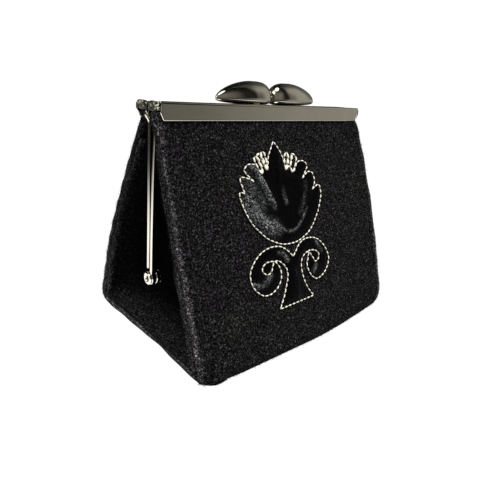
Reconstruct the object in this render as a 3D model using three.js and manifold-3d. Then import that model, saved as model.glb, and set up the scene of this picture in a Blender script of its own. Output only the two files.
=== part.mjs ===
// A small felt wallet on a clasp frame.
// Millimetres, X along the frame, Y to the back, Z up, origin under the middle.
import * as THREE from "three";
import { mergeVertices } from "three/addons/utils/BufferGeometryUtils.js";
import { TessellateModifier } from "three/addons/modifiers/TessellateModifier.js";
import Module from "manifold-3d";

const wasm = await Module();
wasm.setup();

// Driving dimensions of the frame.
const barLength = 100;
const barTop = 86.3;
const barHeight = 5.1;
const metalSheet = 0.6;
const halfDepth = 6.5; // from the frame's middle plane to the outer face of one bar
const halfGap = 0.35; // from the middle plane to the inner wall of one bar
const frameX = -1.05; // the frame sits a little left of the felt's middle
const frameY = -3; // and a little to the front of the base's middle
const barChamfer = 1.6;
const lipFlare = 0.2;

// Arms and hinge.
const armWidth = 3.6;
const armInset = 1.35; // from a bar's end to its arm
const armNear = 0.4; // the arm's two faces, measured from the middle plane
const armFar = 1.45;
const armTop = 83.5;
const hingeZ = 26.7;
const eyeRadius = 2.5;
const eyeBore = 1.6;
const eyeWidth = 1.7;
const rivetRadius = 1.35;
const rivetBore = 0.95;
const rivetHead = 2.3;
const headThick = 0.5;

// Felt body.
const felt = 1.9;
const feltGap = 0.3;
const feltTop = 83.6;
const lipZ = barTop - barHeight;
const footZ = felt / 2;
const footDepth = 78.9; // between the sharp corners of the base, before rounding
const topHalfWidth = 50;
const baseHalfWidth = 48.4;
const feltX = 0.7; // the middle of the felt's width below the bars
const widthSwell = 1; // how far the felt spreads at half height
const topDraw = 10; // over this drop below the bars the felt passes from the frame's middle to its own
const channelMid = 4.8; // from the middle plane to the felt's own middle inside a bar
const bow = { frontLeft: 1.6, frontRight: -1.8, backLeft: 4.2, backRight: 3 };
const fold = { front: 3.8, frontRight: 6.5, back: 5 }; // how far the base folds reach along the felt

// Side pieces.
const gussetDepth = 22;
const gussetRise = 34;
const gussetTop = 74; // the seams end here, below the bars

// Clasp beads.
const bead = {
  middle: 0.3, inner: 0.3, length: 24.8, peak: 0.38, halfWidth: 4.8, rim: 88.2, up: 6.2, down: 1.6,
};
const post = { x: 8.5, off: 2.6, radius: 1.2, top: 88.8 };

// Satin shapes.
const satin = 0.5;
const satinGap = 0.25;
const motif = { shift: -3.1, scale: 0.97, middle: 50 }; // the flower sits a little left of the middle

const materials = {
  felt: new THREE.MeshStandardMaterial({ color: 0x1a181b, roughness: 0.95, metalness: 0 }),
  satin: new THREE.MeshStandardMaterial({ color: 0x0c0c10, roughness: 0.35, metalness: 0 }),
  nickel: new THREE.MeshStandardMaterial({ color: 0xa8a49a, roughness: 0.18, metalness: 1 }),
  filler: new THREE.MeshStandardMaterial({ color: 0x77735c, roughness: 0.8, metalness: 0 }),
};

const wallet = new THREE.Group();
wallet.name = "wallet";

function addPiece(name, geometry, material) {
  geometry.computeVertexNormals();
  const mesh = new THREE.Mesh(geometry, material);
  mesh.name = name;
  wallet.add(mesh);
}

function clamp01(t) {
  return Math.min(1, Math.max(0, t));
}

function mix(a, b, t) {
  return a + (b - a) * t;
}

// An indexed geometry from points and triangles, turned to face out.
function closedGeometry(points, triangles) {
  let volume = 0;
  for (const [a, b, c] of triangles) {
    volume += points[a].dot(new THREE.Vector3().crossVectors(points[b], points[c]));
  }
  const faces = volume < 0 ? triangles.map(([a, b, c]) => [a, c, b]) : triangles;
  const numbers = points.flatMap((p) => p.toArray());
  const geometry = new THREE.BufferGeometry();
  geometry.setAttribute("position", new THREE.Float32BufferAttribute(numbers, 3));
  geometry.setIndex(faces.flat());
  return geometry;
}

function toSolid(geometry) {
  const bare = new THREE.BufferGeometry();
  bare.setAttribute("position", geometry.getAttribute("position"));
  bare.setIndex(geometry.getIndex());
  const merged = mergeVertices(bare, 1e-4);
  const mesh = new wasm.Mesh({
    numProp: 3,
    vertProperties: new Float32Array(merged.getAttribute("position").array),
    triVerts: new Uint32Array(merged.getIndex().array),
  });
  return new wasm.Manifold(mesh);
}

function fromSolid(solid) {
  const mesh = solid.getMesh();
  const geometry = new THREE.BufferGeometry();
  geometry.setAttribute("position", new THREE.BufferAttribute(new Float32Array(mesh.vertProperties), 3));
  geometry.setIndex(new THREE.BufferAttribute(new Uint32Array(mesh.triVerts), 1));
  return geometry;
}

// A closed sheet of even thickness about a grid of middle points, with the grid's own normals.
function sheetGeometry(grid, thickness, normals, floor = -Infinity) {
  const rows = grid.length;
  const columns = grid[0].length;
  const points = [];
  for (const side of [0.5, -0.5]) {
    for (let i = 0; i < rows; i += 1) {
      for (let j = 0; j < columns; j += 1) {
        const p = grid[i][j].clone().addScaledVector(normals[i][j], side * thickness);
        p.z = Math.max(floor, p.z);
        points.push(p);
      }
    }
  }
  const at = (side, i, j) => side * rows * columns + i * columns + j;
  const triangles = [];
  const quad = (a, b, c, d) => triangles.push([a, b, c], [a, c, d]);
  for (let i = 0; i + 1 < rows; i += 1) {
    for (let j = 0; j + 1 < columns; j += 1) {
      quad(at(0, i, j), at(0, i + 1, j), at(0, i + 1, j + 1), at(0, i, j + 1));
      quad(at(1, i, j), at(1, i, j + 1), at(1, i + 1, j + 1), at(1, i + 1, j));
    }
  }
  for (let i = 0; i + 1 < rows; i += 1) {
    const end = columns - 1;
    quad(at(0, i, 0), at(1, i, 0), at(1, i + 1, 0), at(0, i + 1, 0));
    quad(at(0, i + 1, end), at(1, i + 1, end), at(1, i, end), at(0, i, end));
  }
  for (let j = 0; j + 1 < columns; j += 1) {
    const end = rows - 1;
    quad(at(0, 0, j + 1), at(1, 0, j + 1), at(1, 0, j), at(0, 0, j));
    quad(at(0, end, j), at(1, end, j), at(1, end, j + 1), at(0, end, j + 1));
  }
  return closedGeometry(points, triangles);
}

// Normals of a grid from its differences along rows and columns.
function gridNormals(grid) {
  const rows = grid.length;
  const columns = grid[0].length;
  return grid.map((row, i) => row.map((_, j) => {
    const down = grid[Math.min(i + 1, rows - 1)][j].clone().sub(grid[Math.max(i - 1, 0)][j]);
    const along = row[Math.min(j + 1, columns - 1)].clone().sub(row[Math.max(j - 1, 0)]);
    return down.cross(along).normalize();
  }));
}

// Height w runs from 0 at the bar's lip to 1 at the base.
// The felt leaves the bar straight down and then slopes out.
function slope(w) {
  const ease = 0.05;
  return w <= 0 ? 0 : (w * w * (1 + ease)) / (w + ease);
}

// The middle of the felt panel on one side (-1 front, 1 back) at a place across and a height.
function panelY(side, x, z) {
  const w = (lipZ - z) / (lipZ - footZ);
  const across = (x + topHalfWidth) / (2 * topHalfWidth);
  const bows = side < 0 ? [bow.frontLeft, bow.frontRight] : [bow.backLeft, bow.backRight];
  const belly = mix(bows[0], bows[1], across);
  const top = frameY + side * channelMid;
  const foot = side * (footDepth / 2 - felt / 2);
  const inside = clamp01(w);
  return top + (foot - top) * slope(inside) + belly * 4 * inside * (1 - inside);
}

function panelLean(side, x, z) {
  return (panelY(side, x, z + 0.05) - panelY(side, x, z - 0.05)) / 0.1;
}

function foldReach(side, x) {
  if (side > 0) {
    return fold.back;
  }
  return fold.front + fold.frontRight * clamp01((x - 5) / 45) ** 1.5;
}

// One side of the felt strip at a place across: from inside the bar down to the start of the flat base.
function sideProfile(side, x) {
  const reach = foldReach(side, x);
  const startZ = footZ + reach * 0.93;
  const stations = 12;
  const line = [[panelY(side, x, feltTop), feltTop], [panelY(side, x, lipZ + 1), lipZ + 1]];
  for (let k = 0; k <= stations; k += 1) {
    const z = mix(lipZ, startZ, (k / stations) ** 1.4);
    line.push([panelY(side, x, z), z]);
  }
  const start = [panelY(side, x, startZ), startZ];
  const corner = [start[0] + panelLean(side, x, startZ) * (footZ - startZ), footZ];
  const end = [corner[0] - side * reach, footZ];
  const bends = 6;
  for (let k = 1; k <= bends; k += 1) {
    const t = k / bends;
    const blend = (i) => (1 - t) ** 2 * start[i] + 2 * t * (1 - t) * corner[i] + t * t * end[i];
    line.push([blend(0), blend(1)]);
  }
  return line;
}

// Half the felt's width at a height: a straight taper with a rounded swell.
function halfWidth(z) {
  const t = clamp01(z / lipZ);
  const swell = widthSwell * Math.sqrt(1 - (2 * t - 1) ** 4);
  return mix(baseHalfWidth, topHalfWidth, t) + swell;
}

// The middle of the felt's width at a height.
function middleX(z) {
  return mix(feltX, frameX, clamp01(1 - (lipZ - z) / topDraw) ** 2);
}

// The whole strip at a place across, front top to back top.
function stripProfile(x) {
  const front = sideProfile(-1, x);
  const back = sideProfile(1, x).reverse();
  const baseSteps = 7;
  const from = front[front.length - 1][0];
  const to = back[0][0];
  const base = [];
  for (let k = 1; k < baseSteps; k += 1) {
    base.push([mix(from, to, k / baseSteps), footZ]);
  }
  return [...front, ...base, ...back];
}

function buildWrap() {
  const columns = 10;
  const strips = [];
  for (let j = 0; j <= columns; j += 1) {
    const across = mix(-1, 1, j / columns);
    const line = stripProfile(across * topHalfWidth);
    strips.push(line.map(([y, z]) => new THREE.Vector3(middleX(z) + across * halfWidth(z), y, z)));
  }
  const grid = strips[0].map((_, i) => strips.map((line) => line[i]));
  addPiece("body_wrap", sheetGeometry(grid, felt, gridNormals(grid), 0), materials.felt);
}

// The strip's profile at a place across, set inwards by a felt thickness and the gap, from low to high.
function innerEdge(side, x) {
  const line = sideProfile(side, x);
  const away = felt + feltGap;
  return line.map((p, i) => {
    const before = line[Math.max(i - 1, 0)];
    const after = line[Math.min(i + 1, line.length - 1)];
    const run = [after[0] - before[0], after[1] - before[1]];
    const long = Math.hypot(run[0], run[1]);
    const last = i === line.length - 1;
    const normal = last ? [0, 1] : [side * run[1] / long, -side * run[0] / long];
    return { y: p[0] + normal[0] * away, z: p[1] + normal[1] * away, normal };
  }).sort((a, b) => a.z - b.z);
}

function edgeAt(edge, z) {
  let k = 0;
  while (k < edge.length - 2 && edge[k + 1].z < z) {
    k += 1;
  }
  const a = edge[k];
  const b = edge[k + 1];
  const t = clamp01((z - a.z) / Math.max(1e-6, b.z - a.z));
  const normal = new THREE.Vector3(0, mix(a.normal[0], b.normal[0], t), mix(a.normal[1], b.normal[1], t));
  return { y: mix(a.y, b.y, t), normal: normal.normalize() };
}

// A side piece folds inwards: level cuts are long rounded loops, and the loops die out towards the base.
function buildGusset(name, end) {
  const rows = 20;
  const straight = 3;
  const round = 12;
  const columns = round + 2 * straight;
  const low = felt + feltGap + footZ;
  const grid = [];
  const edgeNormals = [];
  for (let i = 0; i <= rows; i += 1) {
    const z = mix(low, gussetTop, 0.5 - 0.5 * Math.cos((i / rows) * Math.PI));
    const climb = clamp01((z - low) / gussetRise);
    const depth = gussetDepth * Math.sqrt(1 - (1 - climb) ** 2.2);
    const ends = [-1, 1].map((side) => edgeAt(innerEdge(side, end * topHalfWidth), z));
    const nose = Math.min(depth * 0.8, ((ends[1].y - ends[0].y) / 2) * 1.15);
    const row = [];
    const normalRow = [];
    for (let j = 0; j <= columns; j += 1) {
      const flank = Math.max(0, straight - j, j - (columns - straight)) / straight;
      const turn = clamp01((j - straight) / round) * Math.PI - Math.PI / 2;
      const sign = j < columns / 2 ? -1 : 1;
      const wide = flank > 0 ? sign * mix(0.94, 1, flank) : 0.94 * Math.sin(turn);
      const inward = flank > 0 ? (1 - flank) * (depth - nose) : depth - nose + nose * Math.cos(turn);
      const across = end * topHalfWidth * (1 - inward / halfWidth(z));
      const [front, back] = [-1, 1].map((side) => edgeAt(innerEdge(side, across), z));
      const middle = (front.y + back.y) / 2;
      const spread = (back.y - front.y) / 2;
      const reach = middleX(z) + end * (halfWidth(z) - inward);
      row.push(new THREE.Vector3(reach, middle + spread * wide, z));
      normalRow.push(flank === 1 ? (sign < 0 ? front.normal : back.normal) : null);
    }
    grid.push(row);
    edgeNormals.push(normalRow);
  }
  const normals = gridNormals(grid);
  for (let i = 0; i <= rows; i += 1) {
    for (let j = 0; j <= columns; j += 1) {
      const set = i === 0 ? new THREE.Vector3(0, 0, 1) : edgeNormals[i][j];
      if (set) {
        const near = normals[Math.max(i, 1)][Math.min(Math.max(j, 1), columns - 1)];
        normals[i][j] = near.dot(set) < 0 ? set.clone().negate() : set.clone();
      }
    }
  }
  for (const j of [0, columns]) {
    normals[0][j] = normals[0][1].clone().add(normals[1][j]).normalize();
  }
  addPiece(name, sheetGeometry(grid, felt, normals), materials.felt);
}

// A prism along X from a flat outline given as distances out from the frame's middle plane and heights.
function prismX(outline, side, x0, x1, hole) {
  const shape = new THREE.Shape(outline.map(([a, z]) => new THREE.Vector2(frameY + side * a, z)));
  if (hole) {
    shape.holes.push(hole);
  }
  const settings = { depth: x1 - x0, bevelEnabled: false, curveSegments: 28 };
  const geometry = new THREE.ExtrudeGeometry(shape, settings);
  geometry.applyMatrix4(new THREE.Matrix4().set(0, 0, 1, frameX + x0, 1, 0, 0, 0, 0, 1, 0, 0, 0, 0, 0, 1));
  return toSolid(geometry);
}

function box(side, a0, a1, z0, z1, x0, x1) {
  return prismX([[a0, z0], [a1, z0], [a1, z1], [a0, z1]], side, Math.min(x0, x1), Math.max(x0, x1));
}

// The eye at an arm's lower end: a flat ring about the hinge axis.
function eye(x0, x1) {
  const ring = Array.from({ length: 28 }, (_, k) => {
    const turn = (k / 28) * 2 * Math.PI;
    return [eyeRadius * Math.cos(turn), hingeZ + eyeRadius * Math.sin(turn)];
  });
  const hole = new THREE.Path();
  hole.absarc(frameY, hingeZ, eyeBore, 0, 2 * Math.PI, true);
  return prismX(ring, 1, Math.min(x0, x1), Math.max(x0, x1), hole);
}

// A bar is a bent channel, open below, with a flared lip and clipped lower corners.
function buildFrame(name, side) {
  const inner = halfGap + metalSheet;
  const outer = halfDepth - metalSheet;
  const channel = [
    [halfGap, lipZ], [inner, lipZ], [inner, barTop - metalSheet], [outer, barTop - metalSheet],
    [outer, lipZ], [halfDepth + lipFlare * 0.6, lipZ], [halfDepth + lipFlare, lipZ + 0.25],
    [halfDepth + lipFlare * 0.6, lipZ + 0.5], [halfDepth, lipZ + 0.65], [halfDepth, barTop - 0.55],
    [halfDepth - 0.18, barTop - 0.18], [halfDepth - 0.55, barTop], [halfGap + 0.3, barTop],
    [halfGap, barTop - 0.3],
  ];
  const half = barLength / 2;
  let solid = prismX(channel, side, -half, half);
  for (const end of [-1, 1]) {
    const clip = new THREE.Shape([
      new THREE.Vector2(end * (half + 0.1), lipZ - 0.1),
      new THREE.Vector2(end * (half - barChamfer + 0.1), lipZ - 0.1),
      new THREE.Vector2(end * (half + 0.1), lipZ + barChamfer + 0.1),
    ]);
    const wedge = new THREE.ExtrudeGeometry(clip, { depth: 2 * halfDepth + 4, bevelEnabled: false });
    wedge.rotateX(Math.PI / 2);
    wedge.translate(frameX, frameY + halfDepth + 2, 0);
    solid = solid.subtract(toSolid(wedge));
  }
  const armOut = half - armInset;
  for (const end of [-1, 1]) {
    const outerX = end * armOut;
    const innerX = end * (armOut - armWidth);
    const eyeOut = side < 0 ? outerX : end * (armOut - armWidth + eyeWidth);
    const eyeIn = side < 0 ? end * (armOut - eyeWidth) : innerX;
    solid = solid.add(box(side, armNear, armFar, hingeZ + 3.6, armTop, outerX, innerX));
    solid = solid.add(box(side, armNear, armFar, hingeZ + 1.4, hingeZ + 3.8, eyeOut, eyeIn));
    solid = solid.add(eye(eyeOut, eyeIn));
  }
  addPiece(name, fromSolid(solid), materials.nickel);
}

// A hollow rivet along X with a rolled head at each end.
function buildRivet(name, end) {
  const armOut = barLength / 2 - armInset;
  const outside = armOut + 0.25 + headThick;
  const inside = armOut - armWidth - 0.25 - headThick;
  const bevel = 0.2;
  const section = [
    [rivetBore, inside], [rivetHead - bevel, inside], [rivetHead, inside + bevel],
    [rivetHead, inside + headThick], [rivetRadius, inside + headThick], [rivetRadius, outside - headThick],
    [rivetHead, outside - headThick], [rivetHead, outside - bevel], [rivetHead - bevel, outside],
    [rivetBore + bevel, outside], [rivetBore, outside - bevel], [rivetBore, inside],
  ];
  const geometry = new THREE.LatheGeometry(section.map(([r, x]) => new THREE.Vector2(r, x)), 18);
  geometry.applyMatrix4(new THREE.Matrix4().set(0, 1, 0, 0, 1, 0, 0, frameY, 0, 0, 1, hingeZ, 0, 0, 0, 1));
  const solid = toSolid(geometry);
  const facing = fromSolid(solid);
  const points = [];
  const place = facing.getAttribute("position");
  for (let k = 0; k < place.count; k += 1) {
    points.push(new THREE.Vector3(frameX + end * place.getX(k), place.getY(k), place.getZ(k)));
  }
  const index = facing.getIndex().array;
  const triangles = [];
  for (let k = 0; k < index.length; k += 3) {
    triangles.push([index[k], index[k + 1], index[k + 2]]);
  }
  addPiece(name, closedGeometry(points, triangles), materials.nickel);
}

// A bead's fullness along its length: a blunt end at 0, the peak, a drawn-out tip at 1.
function fullness(t) {
  if (t < bead.peak) {
    return Math.sqrt(1 - ((bead.peak - t) / bead.peak) ** 3);
  }
  return (1 - ((t - bead.peak) / (1 - bead.peak)) ** 2) ** 0.75;
}

function buildBead(name, end, side) {
  const rings = 18;
  const around = 22;
  const points = [];
  const triangles = [];
  for (let i = 1; i < rings; i += 1) {
    const t = 0.5 - 0.5 * Math.cos((i / rings) * Math.PI);
    const full = fullness(t);
    for (let j = 0; j < around; j += 1) {
      const turn = (j / around) * 2 * Math.PI;
      const rise = Math.sin(turn) > 0 ? bead.up : bead.down;
      points.push(new THREE.Vector3(
        bead.middle + end * (bead.inner + t * bead.length),
        frameY + bead.halfWidth * full * Math.cos(turn),
        bead.rim + rise * full * Math.sin(turn),
      ));
    }
  }
  const bluntX = bead.middle + end * bead.inner;
  const blunt = points.push(new THREE.Vector3(bluntX, frameY, bead.rim)) - 1;
  const tip = points.push(new THREE.Vector3(bluntX + end * bead.length, frameY, bead.rim)) - 1;
  for (let j = 0; j < around; j += 1) {
    const next = (j + 1) % around;
    triangles.push([blunt, next, j]);
    for (let i = 0; i + 2 < rings; i += 1) {
      const a = i * around;
      const b = a + around;
      triangles.push([a + j, a + next, b + next], [a + j, b + next, b + j]);
    }
    const last = (rings - 2) * around;
    triangles.push([tip, last + j, last + next]);
  }
  const stem = new THREE.CylinderGeometry(post.radius, post.radius, post.top - barTop - 0.2, 16);
  stem.rotateX(Math.PI / 2);
  stem.translate(bead.middle + end * post.x, frameY + side * post.off, (post.top + barTop + 0.2) / 2);
  const solid = toSolid(closedGeometry(points, triangles)).add(toSolid(stem));
  addPiece(name, fromSolid(solid), materials.nickel);
}

function buildFiller(name, side) {
  const near = halfGap + metalSheet + 0.3;
  const far = halfDepth - metalSheet - 0.25;
  const low = feltTop + 0.25;
  const high = barTop - metalSheet - 0.25;
  const cut = 0.5;
  const section = [
    [near + cut, low], [far - cut, low], [far, low + cut], [far, high - cut],
    [far - cut, high], [near + cut, high], [near, high - cut], [near, low + cut],
  ];
  const half = barLength / 2 + 0.3;
  addPiece(name, fromSolid(prismX(section, side, -half, half)), materials.filler);
}

// Runs of points of the satin outlines, right half, each point as [across, up] on the front panel.
// A new run starts at a corner.
const flowerRuns = [
  [[0, 39.6], [6.5, 40.8], [12.2, 44], [17.5, 49.4], [21, 54.8], [21.7, 58.3], [20.9, 60.3], [19.6, 60.5],
    [18, 59.4]],
  [[18, 59.4], [19.3, 62.5], [19.5, 65.2], [18, 66.2], [15.8, 65.7], [13, 63.9]],
  [[13, 63.9], [15.7, 66.4], [16.6, 68.6], [14.6, 70.4], [12.2, 70.2], [10.6, 69], [8.6, 66.8]],
  [[8.6, 66.8], [5, 67.4]],
  [[5, 67.4], [4.5, 69.5], [3.4, 72.5], [1.9, 75.3], [0, 78.2]],
];
const footRuns = [
  [[0, 16.4], [9.3, 16.4]],
  [[9.3, 16.4], [6.7, 20.5], [4.8, 24.3], [3.9, 28], [4.4, 31.6], [6.6, 33.8], [9.3, 34.3]],
  [[9.3, 34.3], [7.5, 31.6], [7.1, 28.5], [8.6, 25.3], [12, 23.1], [15.6, 23.3], [19, 25.4], [21, 28.6],
    [21, 32.3], [18.8, 36.1], [15.2, 38.6], [10.9, 39.7], [6.5, 39.4], [2.6, 37.5], [0, 34.6]],
];

// The full outline: each run is a smooth curve, and the left half mirrors the right.
function motifOutline(runs, stepsPerPoint) {
  const right = [];
  for (const run of runs) {
    const curve = new THREE.SplineCurve(run.map(([x, s]) => new THREE.Vector2(x, s)));
    const steps = run.length > 2 ? stepsPerPoint * (run.length - 1) : 3;
    right.push(...curve.getPoints(steps).slice(0, -1));
  }
  const lastRun = runs[runs.length - 1];
  const top = lastRun[lastRun.length - 1];
  const left = right.slice(1).reverse().map((p) => new THREE.Vector2(-p.x, p.y));
  return [...right, new THREE.Vector2(top[0], top[1]), ...left];
}

// A place on the front panel's face, so far across, up and away from it.
function onFront(across, up, away) {
  const lean = 0.945;
  const z = (motif.middle + (up - motif.middle) * motif.scale) * lean;
  const x = across * motif.scale + motif.shift;
  const drop = panelLean(-1, x, z);
  const normal = new THREE.Vector3(0, -1, drop).normalize();
  return new THREE.Vector3(x, panelY(-1, x, z), z).addScaledVector(normal, felt / 2 + away);
}

function buildSatin(name, runs) {
  const flat = new THREE.ShapeGeometry(new THREE.Shape(motifOutline(runs, 3)));
  const fine = mergeVertices(new TessellateModifier(7, 12).modify(flat), 1e-3);
  const place = fine.getAttribute("position");
  const index = fine.getIndex().array;
  const count = place.count;
  const points = [];
  for (const away of [satinGap, satinGap + satin]) {
    for (let k = 0; k < count; k += 1) {
      points.push(onFront(place.getX(k), place.getY(k), away));
    }
  }
  const triangles = [];
  const open = new Map();
  for (let k = 0; k < index.length; k += 3) {
    const [a, b, c] = [index[k], index[k + 1], index[k + 2]];
    triangles.push([a, c, b], [a + count, b + count, c + count]);
    for (const [from, to] of [[a, b], [b, c], [c, a]]) {
      if (!open.delete(`${to} ${from}`)) {
        open.set(`${from} ${to}`, [from, to]);
      }
    }
  }
  for (const [from, to] of open.values()) {
    triangles.push([from, to, to + count], [from, to + count, from + count]);
  }
  addPiece(name, closedGeometry(points, triangles), materials.satin);
}

buildWrap();
buildGusset("gusset_left", -1);
buildGusset("gusset_right", 1);
buildFrame("frame_front", -1);
buildFrame("frame_back", 1);
buildRivet("rivet_left", -1);
buildRivet("rivet_right", 1);
buildBead("bead_front", -1, -1);
buildBead("bead_back", 1, 1);
buildFiller("filler_front", -1);
buildFiller("filler_back", 1);
buildSatin("applique_flower", flowerRuns);
buildSatin("applique_foot", footRuns);

export default wallet;
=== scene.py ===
import bmesh
import bpy
import math
import numpy as np
from mathutils import Matrix
from mathutils.geometry import delaunay_2d_cdt


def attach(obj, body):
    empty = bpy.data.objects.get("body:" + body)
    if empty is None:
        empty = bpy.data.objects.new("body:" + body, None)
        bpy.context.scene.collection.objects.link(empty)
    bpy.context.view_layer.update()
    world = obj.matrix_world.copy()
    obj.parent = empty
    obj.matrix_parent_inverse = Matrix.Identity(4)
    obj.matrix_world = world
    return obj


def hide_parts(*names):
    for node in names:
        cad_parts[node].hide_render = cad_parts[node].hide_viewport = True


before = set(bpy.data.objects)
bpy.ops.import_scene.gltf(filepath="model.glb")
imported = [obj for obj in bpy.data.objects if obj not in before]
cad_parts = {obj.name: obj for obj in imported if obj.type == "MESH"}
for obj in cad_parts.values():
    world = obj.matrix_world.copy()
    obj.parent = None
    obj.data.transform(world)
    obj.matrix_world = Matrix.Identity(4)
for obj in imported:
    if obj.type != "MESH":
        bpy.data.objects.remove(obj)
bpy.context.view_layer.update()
chance = np.random.default_rng(41)
print("frame loaded:", len(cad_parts), "nodes")

# all sizes below are millimetres in the frame's own axes, and metres only when a mesh is made
metres = 0.001
edgeSteps = 6  # points round a sheet's cut edge
alongX, alongY, alongZ = np.eye(3)

# mesh helpers


# a value between two others, by a share
def mix(a, b, share):
    return a + (b - a) * share


# a soft step from 0 to 1 between two places
def softStep(low, high, value):
    t = np.clip((value - low) / (high - low), 0, 1)
    return t * t * (3 - 2 * t)


# a bell of height one about a place
def bell(value, middle, half):
    return np.exp(-((value - middle) / half) ** 2)


# a number raised to a power with its sign kept, which makes a circle squarer
def signedPower(value, power):
    return np.sign(value) * np.abs(value) ** power


# even angles round a circle
def turns(count):
    return np.arange(count) / count * 2 * math.pi


# vectors brought to length one
def unit(vectors):
    return vectors / np.maximum(np.linalg.norm(vectors, axis=-1, keepdims=True), 1e-9)


# lengths of the lines between points that follow each other along an axis of a grid, added up
def runLength(grid, axis):
    return np.linalg.norm(np.diff(grid, axis=axis), axis=-1).sum(axis)


# quads of a grid, joined round its columns or its rows where asked
def gridQuads(rows, columns, around=False, closed=False):
    i, j = np.meshgrid(np.arange(rows if closed else rows - 1), np.arange(columns if around else columns - 1),
                       indexing="ij")
    nextI, nextJ = (i + 1) % rows, (j + 1) % columns
    corners = [i * columns + j, i * columns + nextJ, nextI * columns + nextJ, nextI * columns + j]
    return np.stack(corners, -1).reshape(-1, 4)


# rungs of quads that close a ring: point k goes with the one as far from the ring's end
def ladderQuads(start, count):
    k = np.arange(count // 2 - 1)
    return start + np.stack([k, k + 1, count - 2 - k, count - 1 - k], -1)


# rings of points as a closed shell: quads between the rings, and the first and last ring as its ends
def ringsShell(rings):
    count, sides = rings.shape[:2]
    end = np.arange(sides)[None]
    return rings, [gridQuads(count, sides, True), end, end + (count - 1) * sides]


# several shells, each points and faces, as one
def joinShells(shells):
    points = []
    faces = []
    start = 0
    for shellPoints, shellFaces in shells:
        flat = shellPoints.reshape(-1, 3)
        points.append(flat)
        faces.extend((f + start).tolist() for f in shellFaces)
        start += len(flat)
    return np.concatenate(points), [corner for group in faces for corner in group]


# a mesh object at the origin, facing out, with sharp edges past an angle
def makePiece(name, shells, material, standsFor=(), sharpAngle=None, tone=None):
    points, faces = joinShells(shells)
    mesh = bpy.data.meshes.new(name)
    mesh.from_pydata((points * metres).tolist(), [], faces)
    if tone is not None:
        mesh.attributes.new("tone", "FLOAT", "POINT").data.foreach_set("value", tone.astype(np.float32))
    work = bmesh.new()
    work.from_mesh(mesh)
    bmesh.ops.recalc_face_normals(work, faces=work.faces)
    work.to_mesh(mesh)
    work.free()
    mesh.polygons.foreach_set("use_smooth", np.ones(len(mesh.polygons), bool))
    if sharpAngle:
        mesh.set_sharp_from_angle(angle=math.radians(sharpAngle))
    mesh.materials.append(material)
    piece = bpy.data.objects.new(name, mesh)
    bpy.context.scene.collection.objects.link(piece)
    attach(piece, "root")
    if standsFor:
        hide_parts(*standsFor)
    print("made", name, len(mesh.vertices), "points")
    return piece


# normals of a grid of points, by the cross product of its two directions
def gridNormals(grid):
    return unit(np.cross(np.gradient(grid, axis=0), np.gradient(grid, axis=1)))


# a closed sheet about a grid of middle points: two faces half a thickness off along the normals,
# each raised by its own relief, and rounded cut edges past the first and last column
def sheetShell(middle, normals, thickness, edgeRound, faceRelief=0.0, backRelief=0.0):
    rows, columns = middle.shape[:2]
    half = thickness / 2
    relief, under = (np.broadcast_to(r, (rows, columns)) for r in (faceRelief, backRelief))
    face = middle + normals * (half + relief)[..., None]
    back = middle - normals * (half + under)[..., None]
    turn = (np.arange(edgeSteps) + 1) / (edgeSteps + 1) * math.pi
    lift = np.cos(turn)
    profile = signedPower(lift, 0.7)
    reach = np.sin(turn) ** 0.7 * edgeRound

    def edge(column, inner):
        out = unit(middle[:, column] - middle[:, inner])
        above, below = half + relief[:, column, None], half + under[:, column, None]
        height = np.where(lift > 0, above, below) * profile
        return (middle[:, column, None] + normals[:, column, None] * height[..., None]
                + out[:, None] * reach[:, None])

    right = edge(-1, -2)
    left = edge(0, 1)[:, ::-1]
    split = edgeSteps // 2
    ring = np.concatenate([left[:, split:], face, right, back[:, ::-1], left[:, :split]], 1)
    around = ring.shape[1]
    ends = [ladderQuads(0, around), ladderQuads((rows - 1) * around, around)]
    return ring, [gridQuads(rows, around, True), *ends]


# a sheet's painted light and shade by place carried round its closed shell, its edges as its first and last
# columns
def ringTone(tone):
    first, last = tone[:, :1], tone[:, -1:]
    split = edgeSteps // 2
    return np.concatenate([np.repeat(first, edgeSteps - split, 1), tone, np.repeat(last, edgeSteps, 1),
                           tone[:, ::-1], np.repeat(first, split, 1)], 1).ravel()


# a tube: rings of points about a line of centres, squarer as the power falls, closed by its end rings
def tubeShell(centres, sideways, upward, across, high, sides, power=1.0):
    turn = turns(sides) + math.pi / sides
    c, s = (signedPower(f(turn), power)[:, None] for f in (np.cos, np.sin))
    a, h = (np.broadcast_to(size, len(centres))[:, None, None] for size in (across, high))
    return ringsShell(centres[:, None] + sideways[..., None, :] * a * c + upward[..., None, :] * h * s)


# a body turned about a line along X: a closed section of distances from the line and places along it
def turnedShell(section, centreY, centreZ, steps):
    turn = turns(steps)[:, None]
    out, along = section[:, 0], section[:, 1]
    points = np.stack([along + 0 * turn, centreY + out * np.cos(turn), centreZ + out * np.sin(turn)], -1)
    return points, [gridQuads(steps, len(section), True, True)]


# material helpers


# inputs of a node, each fed by a value or by another node's socket
def feed(tree, node, inputs):
    for key, value in inputs.items():
        if isinstance(value, bpy.types.NodeSocket):
            tree.links.new(value, node.inputs[key])
        else:
            node.inputs[key].default_value = value


# a node with its inputs and its settings
def addNode(tree, kind, inputs=None, settings=None):
    node = tree.nodes.new(kind)
    for key, value in (settings or {}).items():
        setattr(node, key, value)
    feed(tree, node, inputs or {})
    return node


# a material with its nodes and its shader
def newMaterial(name):
    material = bpy.data.materials.new(name)
    material.use_nodes = True
    tree = material.node_tree
    return material, tree, tree.nodes["Principled BSDF"]


# the piece's own coordinates
def ownPlace(tree):
    return addNode(tree, "ShaderNodeTexCoord").outputs["Object"]


# the number by place that a piece's points carry: painted light and shade, painted sheen, or a fibre's own
# shade
def ownTone(tree):
    return addNode(tree, "ShaderNodeAttribute", None, {"attribute_name": "tone"}).outputs["Fac"]


# a grey level or a colour as the four numbers of a colour socket; a socket stays as it is
def asColour(value):
    if isinstance(value, bpy.types.NodeSocket):
        return value
    return (*(value if isinstance(value, tuple) else (value,) * 3), 1.0)


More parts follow.
